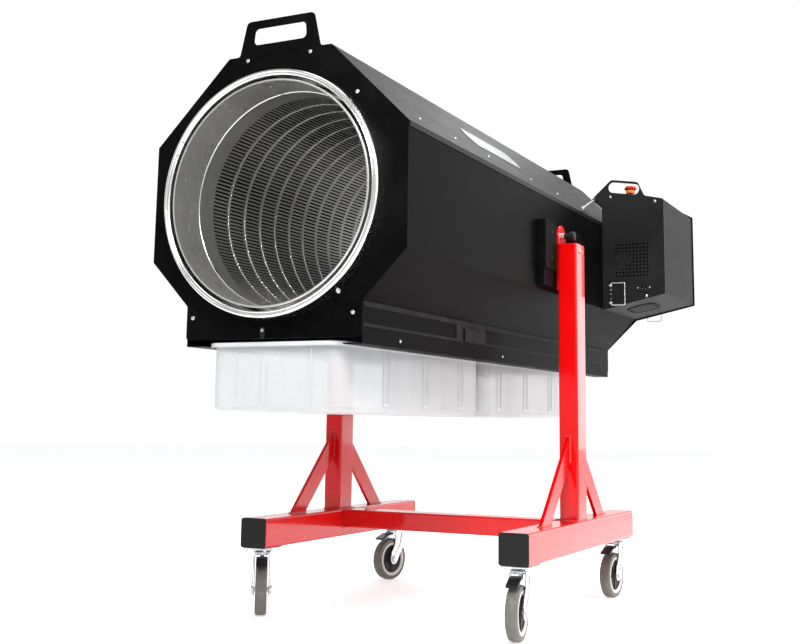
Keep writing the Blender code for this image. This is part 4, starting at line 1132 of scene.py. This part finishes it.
class TUMBLER_OT_plates(bpy.types.Operator):
    """End plates with their hand grips, and the polished mouth rings"""
    bl_idname = "tumbler.plates"
    bl_label = "End plates and mouth rings"

    def execute(self, context):
        low, high = GRIP_TOP - 0.057, GRIP_TOP - 0.019
        grip = rounded([(-0.07, low), (0.07, low), (0.0665, high), (-0.0665, high)], 0.011, 6)
        mouth = circle(RING_R - 0.012, (0, AXIS_Z), 96)
        pin = circle(0.0028, (0.206, 1.15), 12)
        for name, y, wing in (("front_plate", FRONT + PLATE_T, False), ("rear_plate", REAR, True)):
            s = Shape()
            s.prism(plate_outline(wing), PLATE_T, "satin plate", shift(0, y, 0) @ FACING_FRONT, [mouth, grip, pin],
                    edge=sizes().edge)
            s.build(name + "_sheet", "housing", [name], 40.0)

        neck, bore, out = RING_R - 0.0134, RING_R - 0.016, RING_OUT
        crown = ((0.5, 6.0), (1.6, 3.0), (3.6, 1.8), (5.6, 2.6), (6.4, 4.8), (7.2, 2.2), (8.8, 0.4), (11.2, 0),
                (13.5, 1.0), (15.2, 4.0))
        bezel = [(bore + a * MM, out - b * MM) for a, b in crown]
        bezel += [(RING_R, out - 0.009), (RING_R, 0.0026), (RING_R, GAP), (neck, GAP), (neck, -0.02), (bore, -0.02)]
        for name, y, side in (("mouth_bezel", FRONT, -1), ("rear_bezel", REAR, 1)):
            s = Shape()
            s.lathe(bezel, "bright steel", shift(0, y, AXIS_Z) @ turned(math.radians(-90 * side), "X"), 160)
            s.build(name + "_ring", "housing", [name], 50.0)
        # joint tab and two stop pins on the front ring
        s = Shape()
        here = shift(0, FRONT - RING_OUT + 0.0016, AXIS_Z)
        for angle, size in ((95.0, 0.009), (157.0, 0.0028), (150.0, 0.0028)):
            at = here @ turned(math.radians(90 - angle), "Y") @ shift(0, 0.0022, RING_R - 0.0125)
            if size > 0.005:
                s.prism(rounded(rect(size * 2, 0.008), 0.0035, 4), 0.0012, "bright steel", at @ FACING_FRONT,
                        edge=0.0004)
            else:
                s.lathe([(0, 0), (size, 0), (size * 0.8, size * 0.7), (0, size)], "zinc", at @ FACING_FRONT, 14,
                        ring=False)
        s.build("mouth_ring_stops", "housing")
        return {"FINISHED"}


class TUMBLER_OT_covers(bpy.types.Operator):
    """Top cover, side shells, painted shadow strips and a black block on the skirt, and the blank plate"""
    bl_idname = "tumbler.covers"
    bl_label = "Covers"

    def execute(self, context):
        dress("top_cover", "cover coat")
        dress("left_side_shell", "black powder coat")
        dress("right_side_shell", "black powder coat")
        y0, y1 = FRONT + PLATE_T + 0.002, REAR - PLATE_T - 0.002
        s = Shape()
        # (from, to, lower edge, upper edge, thickness) of each strip on the skirt; the first three are thin dark
        # strips of painted shadow, in the gap at the fold, in a groove and round the block, the last is a raised black
        # block
        strips = ((y0, y1, 0.012, 0.0005, 0.0009), (y0, y1, 0.053, 0.047, 0.0007),
                  (-0.462, -0.282, 0.047, 0.012, 0.0007), (-0.42, -0.289, 0.05, 0.02, 0.006))
        for side in (-1, 1):
            for a, b, low, high, depth in strips:
                z0, z1 = SKIRT_Z - low, SKIRT_Z - high
                s.prism(rounded([(a, z0), (b, z0), (b, z1), (a, z1)], 0.0008, 2), depth, "painted shadow and black block",
                        shift(side * SKIRT_X - (0 if side > 0 else depth), 0, 0) @ FACING_SIDE, edge=0.0003)
        s.build("skirt_seals", "housing")

        # folded seams where the cover laps the side shells, with a dark strip of painted shadow inside each gap
        s = Shape()
        for side in (-1, 1):
            s.prism(rounded(rect(0.0016, 0.012), 0.0007, 2), y1 - y0, "cover coat",
                    shift(side * (HALF + 0.0003), y1, AXIS_Z + CORNER - 0.0065) @ FACING_FRONT, edge=0.0003)
            # dark strip inside the gap: painted shadow
            s.prism(rect(0.0012, 0.02), y1 - y0, "painted shadow and black block", shift(side * (HALF - 0.0036), y1,
                    AXIS_Z + CORNER - 0.008) @ FACING_FRONT)
        s.build("cover_seams", "housing")

        mid = centre("name_plate")
        slope = Matrix(((0, -math.sqrt(0.5), math.sqrt(0.5), 0), (1, 0, 0, 0), (0, math.sqrt(0.5), math.sqrt(0.5), 0),
                (0, 0, 0, 1)))
        blank = rounded(mm(-170, -2, -148, -38, 150, -38, 172, -2, 150, 34, -148, 34), 0.004, 4)
        s = Shape()
        s.prism(blank, 0.0012, "label alloy", Matrix.Translation((mid.x, mid.y - 0.001, mid.z)) @ slope @ shift(0,
                0.002, -0.0006), edge=0.0004)
        s.build("blank_plate", "housing", ["name_plate"])
        return {"FINISHED"}


class TUMBLER_OT_drum(bpy.types.Operator):
    """Slotted drum with its collars, ribs, hoops and lips"""
    bl_idname = "tumbler.drum"
    bl_label = "Drum"

    def execute(self, context):
        p = sizes()
        r, wall = DRUM_R, 0.0015
        n, rows = p.slots_round, p.slot_rows
        inner = r - wall
        half, long = p.slot_width / 2, p.slot_length / 2
        mid = long - p.row_pitch / 2         # the slot sits at the low end of its cell
        ends = ((-1, 1), (-0.6, 0.3), (0.6, 0.3), (1, 1))
        hole = [(a * half, mid - long + b * half) for a, b in ends] + [(-a * half, mid + long - b * half) for a,
                b in ends]
        me = pierced(n, rows, (2 * math.pi * inner / n, p.row_pitch), hole, wall, "drum steel", inner)
        me.transform(Matrix.Translation(Vector((0, p.slot_start, AXIS_Z)) + AT))
        settle("drum_wall", me, "drum", ["drum_shell"], 25.0)

        # plain ends, rolled lips and collar
        s = Shape()
        along = shift(0, 0, AXIS_Z) @ ALONG
        y0, y1 = DRUM_Y
        end = p.slot_start + rows * p.row_pitch

        lip = [(r, 0.014), (LIP_R - 0.0006, 0.008), (LIP_R, 0.004), (LIP_R - 0.0004, 0.0014), (LIP_R - 0.002, 0),
               (inner + 0.0008, 0.0002), (inner, 0.0016)]
        plain = [(r, 0.0001), (inner, 0.0001)]
        for a, b, name, first, last in ((y0, p.collar, "collar steel", lip, plain),
                (p.collar, p.slot_start, "drum steel", plain, plain),
                                        (end, y1, "collar steel", plain, lip)):
            s.lathe([(x, a + y) for x, y in first] + [(x, b - y) for x, y in last[::-1]], name, along, n)
        # rolled edge of the collar, its two lap joints and their rivets
        s.lathe([(inner - 0.0016 * math.sin(a),
                p.collar + 0.0016 * math.cos(a)) for a in (math.pi * k / 6 for k in range(7))] + [(inner + 0.0006,
                p.collar)], "bright steel", along, n)
        for angle in (96.0, -142.0):
            lap = shift(0, 0, AXIS_Z) @ turned(math.radians(90 - angle), "Y")
            s.prism(rounded(rect(0.003, p.collar - y0 - 0.006), 0.001, 2), 0.0006, "collar steel",
                    lap @ shift(0, (y0 + p.collar) / 2 - 0.001, inner - 0.0007), edge=0.0002)
            s.prism(rounded(rect(0.013, 0.009), 0.003, 3), 0.0016, "bright steel",
                    lap @ shift(0, p.collar + 0.0025, inner - 0.0016), edge=0.0005)
            for dy in (-0.06, -0.03):
                s.lathe(mm(0, -1, 1.8, -0.6, 2.4, 0, 0, 0), "bright steel", lap @ shift(0.006, p.collar + dy, inner),
                        12, ring=False)
        s.build("drum_ends", "drum", (), 35.0)

        # a fine rib on the inside between rows, with a spot of weld between neighbouring slots
        s = Shape()
        gap = p.row_pitch - p.slot_length
        ribs = [p.slot_start + (k + 1) * p.row_pitch - gap / 2 for k in range(rows - 1)]
        for y in ribs:
            s.lathe([(inner + 0.0002, y - 0.0007), (inner - 0.0005, y - 0.0004), (inner - 0.0005, y + 0.0004),
                    (inner + 0.0002, y + 0.0007)], "drum steel", along, n // 2)
        s.build("drum_ribs", "drum", (), 50.0)
        spots = []
        for y in ribs:
            for j in range(n):
                a = 2 * math.pi * (j + 0.5) / n
                spots.append(((inner * math.cos(a), y, AXIS_Z + inner * math.sin(a)), (-math.cos(a), 0, -math.sin(a)),
                        1.0))
        scatter("drum_weld_spots", weld_spot, spots, "bright steel", "drum", 0, 1, 70.0)

        s = Shape()
        for hoop in ("drum_front_hoop", "drum_rear_hoop"):
            y, h = centre(hoop).y, half_size(hoop, 1)
            s.lathe([(HOOP_R - 0.0012, y - h), (HOOP_R, y - h + 0.0012), (HOOP_R, y + h - 0.0012),
                    (HOOP_R - 0.0012, y + h), (r + GAP, y + h), (r + GAP, y - h)],
                    "bright steel", along, 120)
        s.build("drum_hoops", "drum", ["drum_front_hoop", "drum_rear_hoop"], 35.0)
        return {"FINISHED"}


class TUMBLER_OT_drive(bpy.types.Operator):
    """Roller shafts, gearmotor and friction wheel inside the housing"""
    bl_idname = "tumbler.drive"
    bl_label = "Rollers and drive"

    def execute(self, context):
        for side in ("left", "right"):
            lo, hi = span(f"{side}_roller_shaft")
            mid, rad = (lo + hi) / 2, (hi.x - lo.x) / 2
            along = shift(mid.x, 0, mid.z) @ ALONG
            s = Shape()
            s.lathe([(0, lo.y), (0.009, lo.y), (0.01, lo.y + 0.001), (0.01, hi.y - 0.001), (0.009, hi.y), (0, hi.y)],
                    "zinc", along, 32, ring=False)
            for hoop in ("drum_front_hoop", "drum_rear_hoop"):
                a, b = span(hoop)
                y0, y1 = a.y - 0.004, b.y + 0.004
                s.lathe([(0.0095, y0), (rad - 0.003, y0), (rad - 0.0008, y0 + 0.0008), (rad, y0 + 0.003),
                        (rad, y1 - 0.003), (rad - 0.0008, y1 - 0.0008), (rad - 0.003, y1), (0.0095, y1)],
                        "roller rubber", along, 48)
            s.build(f"{side}_rollers", f"{side}_roller_shaft", [f"{side}_roller_shaft"])
        rad, h = half_size("drive_wheel", 2), half_size("drive_wheel", 1)
        along = Matrix.Translation(centre("drive_wheel")) @ ALONG
        s = Shape()
        s.lathe([(rad - 0.001, h), (rad, h - 0.002), (rad, 0.002 - h), (rad - 0.001, -h), (rad - 0.014, -h),
                (rad - 0.014, h)], "roller rubber", along, 72)
        s.lathe([(rad - 0.0138, h - 0.001), (rad - 0.02, h - 0.001), (rad - 0.022, 0.005), (0.02, 0.005),
                (0.018, h - 0.002), (0.0084, h - 0.002), (0.0084, 0.002 - h),
                 (0.018, 0.002 - h), (0.02, -0.005), (rad - 0.022, -0.005), (rad - 0.02, 0.001 - h),
                 (rad - 0.0138, 0.001 - h)], "motor casting", along, 72)
        s.build("friction_wheel", "drive_wheel", ["drive_wheel"])

        lo, hi = span("gearmotor")
        mid, rad = (lo + hi) / 2, (hi.x - lo.x) / 2
        along = shift(mid.x, lo.y, mid.z) @ ALONG
        m = hi.y - lo.y
        s = Shape()
        can = rad - 0.0045
        s.lathe([(0, 0), (can - 0.006, 0), (can - 0.001, 0.003), (can, 0.008), (can, m - 0.15),
                (rad - 0.001, m - 0.146), (rad, m - 0.144), (rad, m - 0.0815), (rad - 0.0015, m - 0.08),
                 (0.0205, m - 0.08), (0.02, m - 0.072), (0, m - 0.072)], "motor casting", along, 48, ring=False)
        s.lathe([(0, m - 0.072), (0.008, m - 0.072), (0.008, m - 0.001), (0.0072, m), (0, m)], "zinc", along, 24,
                ring=False)
        for k in range(9):
            y = 0.018 + k * 0.0125
            s.lathe([(can - 0.001, y - 0.0016), (can + 0.0032, y - 0.0009), (can + 0.0032, y + 0.0009),
                    (can - 0.001, y + 0.0016)], "motor casting", along, 48)
        s.build("gearmotor_body", "housing", ["gearmotor"])
        return {"FINISHED"}


class TUMBLER_OT_box(bpy.types.Operator):
    """Drive box: front plate with its vent, shell, inlet, hooks and the stay rod"""
    bl_idname = "tumbler.box"
    bl_label = "Drive box"

    def execute(self, context):
        p = sizes()
        low, high = AXIS_Z - 0.1395, AXIS_Z + 0.197
        half, left = HALF, HALF + 0.0005
        outline = rounded([(left, low), (BOX_X, low + 0.0445), (BOX_X, high), (half + 0.135, high + 0.014),
                (half + 0.115, high + 0.058),
                           (half + 0.031, high + 0.071), (half - 0.027, high + 0.0185), (half - 0.027, high + 0.008),
                           (left, high - 0.019)], [0.002, 0.004, 0.006, 0.012, 0.012, 0.014, 0.003, 0.003, 0.003], 6)
        tilt = math.radians(-9)
        cx, cz = half + 0.071, high + 0.041
        slot = [(cx + x * math.cos(tilt) - z * math.sin(tilt), cz + x * math.sin(tilt) + z * math.cos(tilt)) for x,
                z in rounded(rect(0.098, 0.033), 0.0155, 8)]
        inlet_x, inlet_z = half + 0.129, low + 0.065
        count = 10
        vp = p.vent_pitch
        vx, vz = 0.418, 0.9955
        window = rect(vp * count, vp * count, (vx, vz))
        s = Shape()
        s.prism(outline, BOX_SHEET, "box coat", shift(0, BOX_FACE + BOX_SHEET, 0) @ FACING_FRONT,
                [slot, circle(0.0125, (inlet_x, inlet_z), 32), window], edge=0)
        s.build("box_front_sheet", "housing", ["box_front_plate"], 40.0)

        # the vent: round holes in rows and columns
        me = pierced(count, count, (vp, vp), circle(p.vent_hole, sides=10), BOX_SHEET, "box coat")
        me.transform(Matrix.Translation(Vector((vx - vp * count / 2, BOX_FACE + BOX_SHEET,
                vz - vp * count / 2)) + AT) @ FACING_FRONT)
        settle("box_vent", me, "housing", (), 40.0)

        dress("box_shell", "satin plate")
        # oval pressing in the sloping floor of the box: two flat dark rings paint the shade in its creases round the
        # centre panel
        slope = math.atan2(0.043, 0.1937)
        s = Shape()
        here = shift(half + 0.081, 0.59, low + 0.0035 + 0.081 * math.tan(slope) - 0.0008) @ turned(-slope, "Y")
        big = rounded(rect(0.092, 0.15), 0.0455, 10)
        for out_by, in_by, thick in ((0, 0.0035, 0.0014), (0.0085, 0.011, 0.001)):
            s.prism(inset(big, out_by), thick, "painted shadow and black block", here @ shift(0, 0, -thick), [inset(big, in_by)],
                    edge=0.0003)
        s.prism(inset(big, 0.012), 0.001, "black powder coat", here @ shift(0, 0, -0.001), edge=0.0004)
        s.build("floor_pressing", "housing")

        # power inlet with its flange screws
        s = Shape()
        face = BOX_FACE - GAP
        here = shift(inlet_x, face, inlet_z) @ FACING_FRONT
        s.prism(rounded(rect(0.046, 0.02), 0.0095, 6), 0.003, "black plastic", here, [circle(0.0085, sides=24)],
                edge=0.0007)
        s.lathe(mm(8.5, 0, 8.5, 4.6, 9.2, 5, 10.8, 5, 11.6, 4.4, 11.8, 0), "black plastic", here, 32)
        s.lathe(mm(0, -28, 11.8, -28, 11.8, -0.4, 8.4, -0.4, 8.4, -10, 0, -10), "black plastic", here, 32, ring=False)
        for a in (90, 210, 330):
            q = (inlet_x + 0.0045 * math.cos(math.radians(a)), face, inlet_z + 0.0045 * math.sin(math.radians(a)))
            s.rod(0.001, (q[0], q[1] + 0.01, q[2]), (q[0], q[1] + 0.001, q[2]), "zinc", 8)
        s.build("power_socket", "housing", ["power_inlet"])

        # lugs of the bail, their base strip and its rivets
        hx, hy, hz = Vector(joint("bail_swing")["pos_m"]) - AT
        s = Shape()
        s.prism(rounded(rect(0.012, 0.066), 0.0015, 3), 0.0014, "black plastic",
                shift(hx - 0.001, BOX_FACE - 0.0001, hz) @ FACING_FRONT, edge=0.0004)
        for dz in (-0.027, 0.027):
            loop = rounded([(hy - 0.0045, hz + dz - 0.003), (BOX_FACE, hz + dz - 0.003), (BOX_FACE, hz + dz + 0.003),
                    (hy - 0.0045, hz + dz + 0.003)], 0.0008, 2)
            s.lathe(mm(2.1, -3, 4.4, -3, 4.4, 3, 2.1, 3), "zinc", shift(hx, hy, hz + dz), 20)
            s.prism(loop, 0.0018, "zinc", shift(hx - 0.0044, 0, 0) @ FACING_SIDE, edge=0.0003)
        for dz in (-0.014, 0, 0.014):
            s.lathe(mm(0, 0, 2.6, 0, 2.2, 1, 0, 1.4), "zinc", shift(hx - 0.001, BOX_FACE - 0.0014,
                    hz + dz) @ FACING_FRONT, 14, ring=False)
        s.build("bail_lugs", "housing")
        path = [(0, -0.023)] + rounded(mm(0, -34, 44, -34, 44, 34, 0, 34), 0.0045, 6) + [(0, 0.023)]
        s = Shape()
        s.wire([(hx + a, hy, hz + b) for a, b in path], 0.0017, "zinc", 12)
        s.build("bail_wire", "latch_bail", ["latch_bail"])

        # stay rod with its fork end
        a, b = Vector((half + 0.0075, BOX_FACE - 0.2175, AXIS_Z + CORNER + 0.0056)), Vector((half - 0.018,
                BOX_FACE - 0.003, high + 0.013))
        s = Shape()
        s.rod(0.0038, a, b, "drum steel", 24, 0.0008)
        way = (b - a).normalized()
        s.rod(0.0065, a + way * 0.188, a + way * 0.213, "black plastic", 20, 0.0012)
        s.rod(0.0056, a + way * 0.0015, a + way * 0.014, "zinc", 20, 0.001)
        s.build("stay", "housing", ["stay_rod"])

        # small wire hook under the rear edge of the box
        s = Shape()
        hook = rounded(mm(408, 860, 408, 840, 362, 840, 362, 856), [0, 0.003, 0.003, 0], 4)
        s.wire([(x, REAR + 0.0012, z) for x, z in hook], 0.0013, "drum steel", 8)
        s.build("wire_hook", "housing")
        return {"FINISHED"}


class TUMBLER_OT_stop(bpy.types.Operator):
    """Emergency stop: mushroom head and collar"""
    bl_idname = "tumbler.stop"
    bl_label = "Emergency stop"

    def execute(self, context):
        mid = centre("stop_button")
        here = shift(mid.x, mid.y, span("stop_collar")[0].z + 0.0203)
        s = Shape()
        s.lathe(mm(15.2, 23.7, 16.2, 23.2, 17, 21.7, 17, 8, 16.2, 7.6, 16.2, 6.4, 17, 6, 17, 0, 9.5, 0, 9.5, -20.3,
                8.6, -20.3, 8.6, 23.7), "amber collar", here, 48)
        s.lathe(mm(10, 0, 19, 0, 18.8, 2.2, 17.6, 3, 17.1, 3, 17.1, 0.6, 10, 0.6), "black plastic",
                here @ shift(z=0.0001), 48)
        s.build("stop_collar_ring", "housing", ["stop_collar"])
        s = Shape()
        head = mm(0, 52.7, 6, 52.6, 12, 51.9, 16.5, 50.3, 18.8, 47.5, 19.5, 44.5, 18.8, 41.8, 16, 40.2, 12.8, 39.4,
                12.4, 28.7, 8, 28.7, 8, -14.3, 0, -14.3)
        s.lathe(head, "signal red", here, 48, ring=False)
        s.lathe(mm(12.3, 39.2, 14.2, 38.4, 14.2, 29.2, 12.3, 29.2), "amber collar", here, 40)
        for k in range(3):
            s.prism(rounded(mm(6, -0.7, 10.5, -0.9, 10.5, 0.9, 6, 0.7), 0.0003, 2), 0.001, "signal red",
                    here @ shift(z=0.0516) @ turned(2 * math.pi * k / 3, "Z"), edge=0.0003)
        s.build("stop_head", "stop_button", ["stop_button"])
        return {"FINISHED"}


class TUMBLER_OT_pivots(bpy.types.Operator):
    """Pivot brackets with studs and nuts, and the clamp knobs"""
    bl_idname = "tumbler.pivots"
    bl_label = "Pivots"

    def execute(self, context):
        for side, word in ((-1, "left"), (1, "right")):
            x0, near = HALF - 0.0002, POST_D / 2 + 0.0369
            far, out, base = near + 0.09, HALF + 0.022, HALF + 0.004

            def plan(far, out, near):
                pts = [(x0, -far), (out, -far), (out, -near), (base, -near), (base, near), (out, near), (out, far),
                        (x0, far)]
                return rounded([(side * x, y) for x, y in pts], [0.001, 0.004, 0.003, 0.002, 0.002, 0.003, 0.004,
                        0.001], 3)
            s = Shape()
            s.prism(plan(far, out, near), 0.132, "black powder coat", shift(0, 0, PIVOT_Z - 0.107), edge=0.0015)
            s.prism(plan(far - 0.002, out - 0.006, near + 0.01), 0.046, "black powder coat",
                    shift(0, 0, PIVOT_Z - 0.149), edge=0.0015)
            ear_out = RAIL_X - POST_W / 2 - GAP
            s.rod(0.006, (side * (HALF + 0.0025), 0, PIVOT_Z), (side * (ear_out + 0.0383), 0, PIVOT_Z),
                    "black plastic", 32, 0.0008)
            turn = turned(side * math.pi / 2, "Y")
            s.prism(circle(0.0098, sides=6), 0.0066, "zinc", shift(side * (ear_out + GAP + 0.0012), 0, PIVOT_Z) @ turn,
                    edge=0.0009)
            s.lathe(mm(6, 0, 10, 0, 10, 1.1, 6, 1.1), "zinc", shift(side * (ear_out + GAP), 0, PIVOT_Z) @ turn, 32)
            s.build(f"{word}_bracket", "housing", [f"{word}_pivot_bracket"], 40.0)
            spots = [((side * (out + 0.0009), way * (near + 0.045), PIVOT_Z - dz), (side, 0, 0), 1.0) for way in (-1,
                    1) for dz in (0.075, 0.005)]
            scatter(f"{word}_bracket_screws", pan_head, spots, "black plastic", "housing",
                    turn=ANY_TURN, seed=21)

            lo, hi = span(f"{word}_clamp_knob")
            foot = lo.x if side > 0 else hi.x
            along = shift(foot, 0, PIVOT_Z) @ turn
            s = Shape()
            s.lathe(mm(6.4, 0, 7.8, 0, 8, 0.4, 8, 15, 12, 15.6, 12.8, 16.5, 12.8, 26.8, 12, 28.2, 10.5, 29, 6.4, 29),
                    "black plastic", along, 48)
            for k in range(18):
                a = 2 * math.pi * k / 18
                s.prism(circle(0.0011, (0.0124 * math.cos(a), 0.0124 * math.sin(a)), 6), 0.01, "black plastic",
                        along @ shift(0, 0, 0.0166), edge=0.0003, steps=1)
            s.build(f"{word}_knob", f"{word}_clamp_knob", [f"{word}_clamp_knob"])
        return {"FINISHED"}


class TUMBLER_OT_tubs(bpy.types.Operator):
    """Two milky tubs on their flanges, and the turning catch"""
    bl_idname = "tumbler.tubs"
    bl_label = "Tubs"

    def execute(self, context):
        for name, ribs in (("front_tub", (0.222, 0.427, 0.633)), ("rear_tub", (0.095, 0.3, 0.509, 0.69))):
            lo, hi = span(name)
            mid = (lo.y + hi.y) / 2
            rim = 0.012
            w, l = hi.x - lo.x - 2 * rim, hi.y - lo.y - 2 * rim
            z0, z1 = lo.z, hi.z
            wall = 0.0025

            def ring(dw, z, r):
                return [(x, mid + y, z) for x, y in rounded(rect(w + 2 * dw, l + 2 * dw), max(r, 0.004), 8)]
            f = 0.016
            rings = [ring(-f * (1 - math.sin(a)), z0 + f * (1 - math.cos(a)),
                    0.03 - f * (1 - math.sin(a)) * 0.6) for a in (math.pi / 2 * k / 6 for k in range(7))]
            rings += [ring(0, z1 - 0.012, 0.03), ring(0.0006, z1 - 0.0052, 0.0305),
                    ring(rim - 0.003, z1 - 0.0052, 0.04), ring(rim - 0.0022, z1 - 0.009, 0.0408),
                      ring(rim - 0.0004, z1 - 0.0086, 0.042), ring(rim, z1 - 0.0014, 0.042),
                      ring(rim - 0.0006, z1 - 0.0003, 0.0415), ring(rim - 0.0016, z1, 0.0405),
                      ring(0, z1, 0.03), ring(-wall * 0.7, z1 - 0.0008, 0.0285), ring(-wall, z1 - 0.003, 0.028),
                      ring(-wall, z0 + f, 0.028)]
            g = f - wall
            rings += [ring(-wall - g * (1 - math.cos(a)), z0 + wall + g * (1 - math.sin(a)),
                    0.028 - g * (1 - math.cos(a)) * 0.6) for a in (math.pi / 2 * k / 5 for k in range(1, 6))]
            s = Shape()
            s.loft(rings, "tub plastic")
            for dy in ribs:
                y = lo.y + dy
                for side in (-1, 1):
                    for d in (-0.013, 0.013):
                        s.wire([(side * (w / 2 - 0.0004), y + d, z0 + 0.02),
                                (side * (w / 2 - 0.0004), y + d, z1 - 0.014)], 0.0018, "tub rib with painted shade", 8)
                    s.prism(rounded(rect(0.03, 0.006), 0.0025, 3), 0.0014, "tub rib with painted shade",
                            shift(side * (w / 2) - (0.0009 if side > 0 else 0.0005), y, z0 + 0.02) @ FACING_SIDE,
                            edge=0.0005)
            for side in (-1, 1):
                end = mid + side * l / 2
                for x in (-0.095, 0.095):
                    s.wire([(x, end - side * 0.0004, z0 + 0.02), (x, end - side * 0.0004, z1 - 0.014)], 0.0018,
                            "tub rib with painted shade", 8)
            s.build(name + "_body", name, [name], 30.0)

        x, _, z = Vector(joint("catch_turn")["pos_m"]) - AT
        here = shift(x, span("tub_catch")[1].y, z) @ FACING_FRONT
        s = Shape()
        catch = rounded(mm(-6, -17.5, 6, -17.5, 6, 7, -6, 7), 0.005, 5)
        s.prism(catch, 0.005, "black plastic", here, edge=0.0012)
        s.lathe(mm(0, 4.5, 4, 4.5, 3.6, 5.8, 0, 6), "zinc", here, 20, ring=False)
        s.build("turning_catch", "tub_catch", ["tub_catch"])
        return {"FINISHED"}


class TUMBLER_OT_screws(bpy.types.Operator):
    """Pan head screws of the housing"""
    bl_idname = "tumbler.screws"
    bl_label = "Screws"

    def execute(self, context):
        front = ((-0.083, 1.2965), (0.081, 1.297), (0.202, 1.192), (0.167, 0.764), (0.202, 0.719), (-0.206, 0.718))
        rear = ((0.096, 1.306), (-0.068, 1.306), (-0.189, 1.202), (0.189, 1.202), (-0.15, 0.77), (-0.19, 0.722),
                (0.208, 0.722), (0.42, 1.15), (0.48, 0.93))
        spots = [((x, FRONT - 0.0006, z), (0, -1, 0), 1.0) for x, z in front]
        spots += [((x, REAR + 0.0006, z), (0, 1, 0), 1.0) for x, z in rear]
        s45, x = math.sqrt(0.5), 0.29      # on the sloping cover, at this x
        for side in (-1, 1):
            spots += [((side * (x + 0.0002), y, HALF + AXIS_Z + CORNER - x + 0.0002), (side * s45, 0, s45), 0.62)
                      for y in (-0.812, -0.623, -0.421, -0.122, 0.096, 0.322, 0.548, 0.74)]
            spots += [((side * (SKIRT_X + 0.0001), y, 0.67), (side, 0, 0), 0.75) for y in (-0.76, -0.161, 0.44)]
        spots += [((x, BOX_FACE - 0.0006, z), (0, -1, 0), 0.95) for x, z in ((0.353, 1.197), (0.493, 1.174),
                (0.462, 0.884))]
        spots += [((HALF + 0.129 + dx, BOX_FACE - 0.0036, AXIS_Z - 0.0745), (0, -1, 0), 0.5) for dx in (-0.018, 0.018)]
        scatter("housing_screws", pan_head, spots, "zinc", "housing", turn=ANY_TURN, seed=13)
        return {"FINISHED"}


PIECES = (TUMBLER_OT_stage, TUMBLER_OT_stand, TUMBLER_OT_castors, TUMBLER_OT_plates, TUMBLER_OT_covers,
        TUMBLER_OT_drum, TUMBLER_OT_drive,
          TUMBLER_OT_box, TUMBLER_OT_stop, TUMBLER_OT_pivots, TUMBLER_OT_tubs, TUMBLER_OT_screws)


class TUMBLER_PT_pieces(bpy.types.Panel):
    """Lists the pieces of the tumbler and its sizes and colours"""
    bl_idname = "TUMBLER_PT_pieces"
    bl_label = "Drum tumbler"
    bl_space_type = "VIEW_3D"
    bl_region_type = "UI"
    bl_category = "Tumbler"

    def draw(self, context):
        column = self.layout.column()
        for piece in PIECES:
            column.operator(piece.bl_idname)
        for group in (context.scene.tumbler_sizes, context.scene.tumbler_colours):
            for key in group.bl_rna.properties.keys():
                if key not in {"rna_type", "name"}:
                    column.prop(group, key)


CLASSES = (TumblerSizes, TumblerColours, *PIECES, TUMBLER_PT_pieces)


def register():
    for cls in CLASSES:
        bpy.utils.register_class(cls)
    bpy.types.Scene.tumbler_sizes = PointerProperty(type=TumblerSizes)
    bpy.types.Scene.tumbler_colours = PointerProperty(type=TumblerColours)


def unregister():
    del bpy.types.Scene.tumbler_colours
    del bpy.types.Scene.tumbler_sizes
    for cls in reversed(CLASSES):
        bpy.utils.unregister_class(cls)


def main():
    register()
    for piece in PIECES:
        group, name = piece.bl_idname.split(".")
        if getattr(getattr(bpy.ops, group), name)() != {"FINISHED"}:
            raise RuntimeError(piece.bl_label + " was not finished")
    for ob in HELPERS:
        bpy.data.objects.remove(ob, do_unlink=True)


if __name__ == "__main__":
    main()
